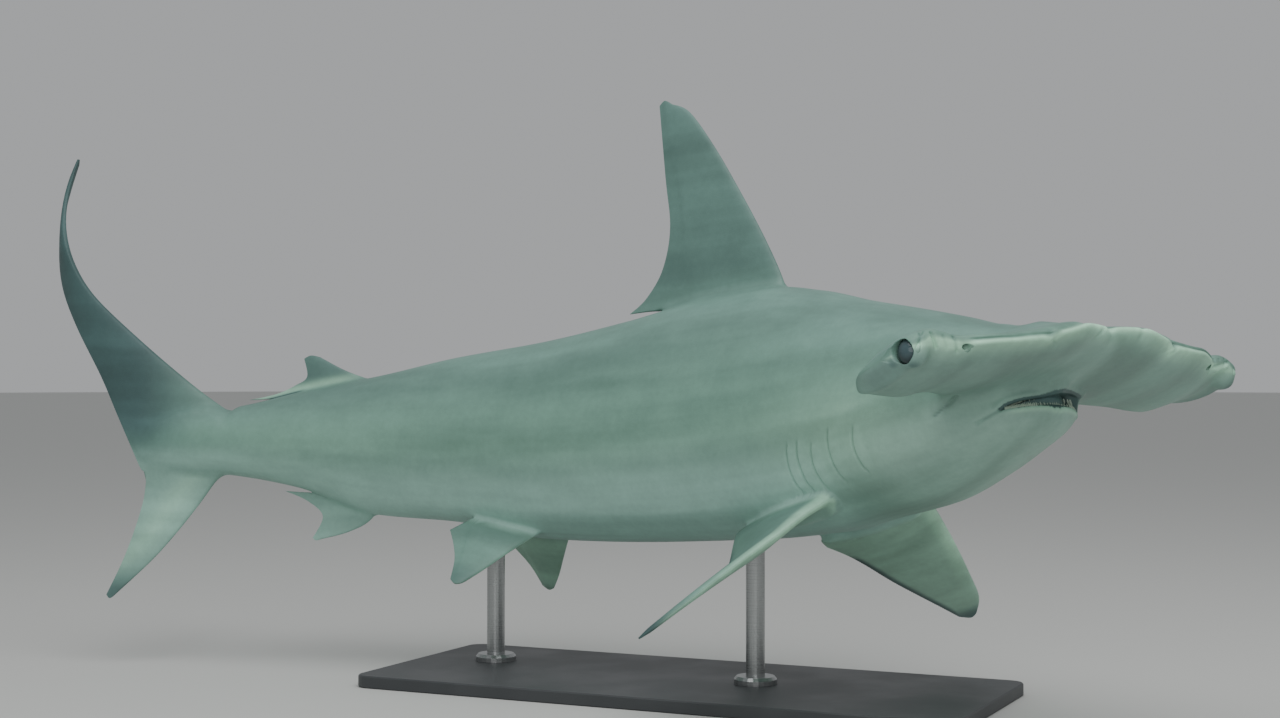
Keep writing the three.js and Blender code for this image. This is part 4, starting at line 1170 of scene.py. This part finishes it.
def toothFaces(start, way):
    sides, rings = teeth["sides"], len(teeth["profile"])
    faces = []
    for k in range(sides):
        after = (k + 1) % sides
        for ring in range(rings - 1):
            low, high = start + ring * sides, start + (ring + 1) * sides
            faces.append([low + k, low + after, high + after, high + k])
        crown, top = start + (rings - 1) * sides, start + rings * sides
        faces.append([crown + k, crown + after, top])
        faces.append([start + after, start + k, top + 1])
    return faces if way > 0 else [face[::-1] for face in faces]


def makeTeeth():
    random = np.random.default_rng(teeth["seed"])
    points, faces = [], []
    for jaw, way in ((1, 1), (0, -1)):
        for row in range(teeth["rows"]):
            for i in range(teeth["count"]):
                share = (i + 0.5 + 0.5 * row) / (teeth["count"] + 0.5)
                share = teeth["from"] + share * (1 - 2 * teeth["from"])
                s, y, z = jawEdge(share, jaw, teeth["inset"][jaw] + row * teeth["rowGap"])
                middle = teeth["cornerHeight"] + (1 - teeth["cornerHeight"]) * math.sin(share * math.pi)
                tall = teeth["height"][jaw] * random.uniform(*teeth["uneven"]) * middle
                faces += toothFaces(len(points), way)
                points += toothPoints(s, y, z, tall, way)
    s, y, z, crown = np.array(points).T
    mesh = bpy.data.meshes.new("teeth")
    mesh.from_pydata(place(s, y, z).tolist(), [], faces)
    setValues(mesh, "crown", crown)
    piece = newPiece("teeth", mesh)
    piece.data.materials.append(makeEnamel())
    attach(piece, "root")
    print("teeth set:", len(faces), "faces")


makeTeeth()

# The tongue and the roof over it, one wet body that closes the mouth behind the teeth, dark as painted shade
# for the open mouth's depth as well as for its lining's own grey
tongue = {
    "from": 5.95, "to": 8.8, "inset": 1.15, "height": -2.4, "half": 0.9,
    "tip": 0.05, "bluntness": 5, "least": 0.05, "rings": 24, "sides": 40,
    "colour": "#5c7876", "fold": "#4a6462", "roughness": 0.3, "ior": 1.38,
    "foldsPerMetre": 180, "bump": 0.2, "bumpHeight": 0.002,
}


# Wet mucous lining: soft and folded, glossy with water, a dull grey that shows little in the shade, made
# darker as painted shade for the depth of the mouth
def makeLining():
    material, tree, shader = newMaterial("wetLining", Roughness=tongue["roughness"], IOR=tongue["ior"])
    places = addNode(tree, "TexCoord").outputs["Object"]
    scale = tongue["foldsPerMetre"]
    folds = addNode(tree, "TexNoise", {"Vector": places, "Scale": scale, "Detail": 4}).outputs[0]
    dress(tree, shader, tongue, "fold", {"colour": folds}, relief=folds)
    return material


def makeTongue():
    share = np.linspace(0, 1, tongue["rings"])[:, None]
    s = tongue["from"] + (tongue["to"] - tongue["from"]) * share
    turn = np.linspace(0, 2 * math.pi, tongue["sides"], endpoint=False)[None, :]
    half = np.maximum(trunkHalfWidth(s) - tongue["inset"], tongue["least"])
    blunt = np.sqrt(np.minimum(1, tongue["tip"] + tongue["bluntness"] * share))
    height = tongue["height"] + tongue["half"] * blunt * np.sin(turn)
    piece = loft("tongue", place(s, half * np.cos(turn), height))
    shadeSmooth(piece.data)
    piece.data.materials.append(makeLining())
    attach(piece, "root")
    print("tongue set")


makeTongue()

powderCoat = makePowderCoat()
brushedSteel = makeBrushedSteel()
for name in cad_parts:
    if name.startswith("stand_"):
        held = bpy.data.objects[name]
        held.data.materials.clear()
        held.data.materials.append(powderCoat if name == "stand_base" else brushedSteel)
print("stand finished")

# The floor, the light and the camera
studio = {
    "floorRadius": 30, "floorSides": 96, "floorColour": "#c9cac7", "floorRoughness": 0.8,
    "sky": "#e6e8ea", "skyStrength": 0.52, "litPoint": (0, 0, 0.4),
    "lights": {
        "key": {"at": (0.9, -1.2, 3.6), "size": 3.6, "power": 85},
        "fill": {"at": (1.0, -3.6, 1.7), "size": 2.6, "power": 34},
    },
    "cameraYaw": 25, "focal": 2000, "imageWidth": 1280, "sensor": 36,  # degrees, pixels and mm
    "seenStation": 35, "seenAt": (4.1, 134, -5.45),  # it is right of, ahead of and above the camera, percent
}
turns = np.linspace(0, 2 * math.pi, studio["floorSides"], endpoint=False)
floorEdge = np.stack([np.cos(turns), np.sin(turns), 0 * turns], 1) * studio["floorRadius"]
floorMesh = bpy.data.meshes.new("floor")
floorMesh.from_pydata(floorEdge.tolist(), [], [list(range(len(floorEdge)))])
floor = newPiece("floor", floorMesh)
floorLook = {"Roughness": studio["floorRoughness"], "Base_Color": hexColour(studio["floorColour"])}
floor.data.materials.append(newMaterial("paleFloor", **floorLook)[0])

world = bpy.data.worlds.new("studio")
bpy.context.scene.world = world
world.use_nodes = True
sky = world.node_tree.nodes["Background"]
sky.inputs["Color"].default_value = hexColour(studio["sky"])
sky.inputs["Strength"].default_value = studio["skyStrength"]

for name, values in studio["lights"].items():
    lamp = bpy.data.lights.new(name, "AREA")
    lamp.shape = "DISK"
    lamp.size = values["size"]
    lamp.energy = values["power"]
    light = newPiece(name, lamp)
    light.location = values["at"]
    towards = Vector(studio["litPoint"]) - Vector(values["at"])
    light.rotation_euler = towards.to_track_quat("-Z", "Y").to_euler()
print("studio lit")

yaw = math.radians(studio["cameraYaw"])
right = np.array([math.cos(yaw), math.sin(yaw), 0])
ahead = np.array([-math.sin(yaw), math.cos(yaw), 0])
seenRight, seenAhead, seenUp = studio["seenAt"]
towardsStation = right * seenRight + ahead * seenAhead + np.array([0, 0, seenUp])
eyePoint = spineAt(studio["seenStation"]) - towardsStation * percent
camera = newPiece("camera", bpy.data.cameras.new("camera"))
camera.location = eyePoint
camera.rotation_euler = (math.radians(90), 0, yaw)
camera.data.sensor_width = studio["sensor"]
camera.data.lens = studio["sensor"] * studio["focal"] / studio["imageWidth"]
bpy.context.scene.camera = camera
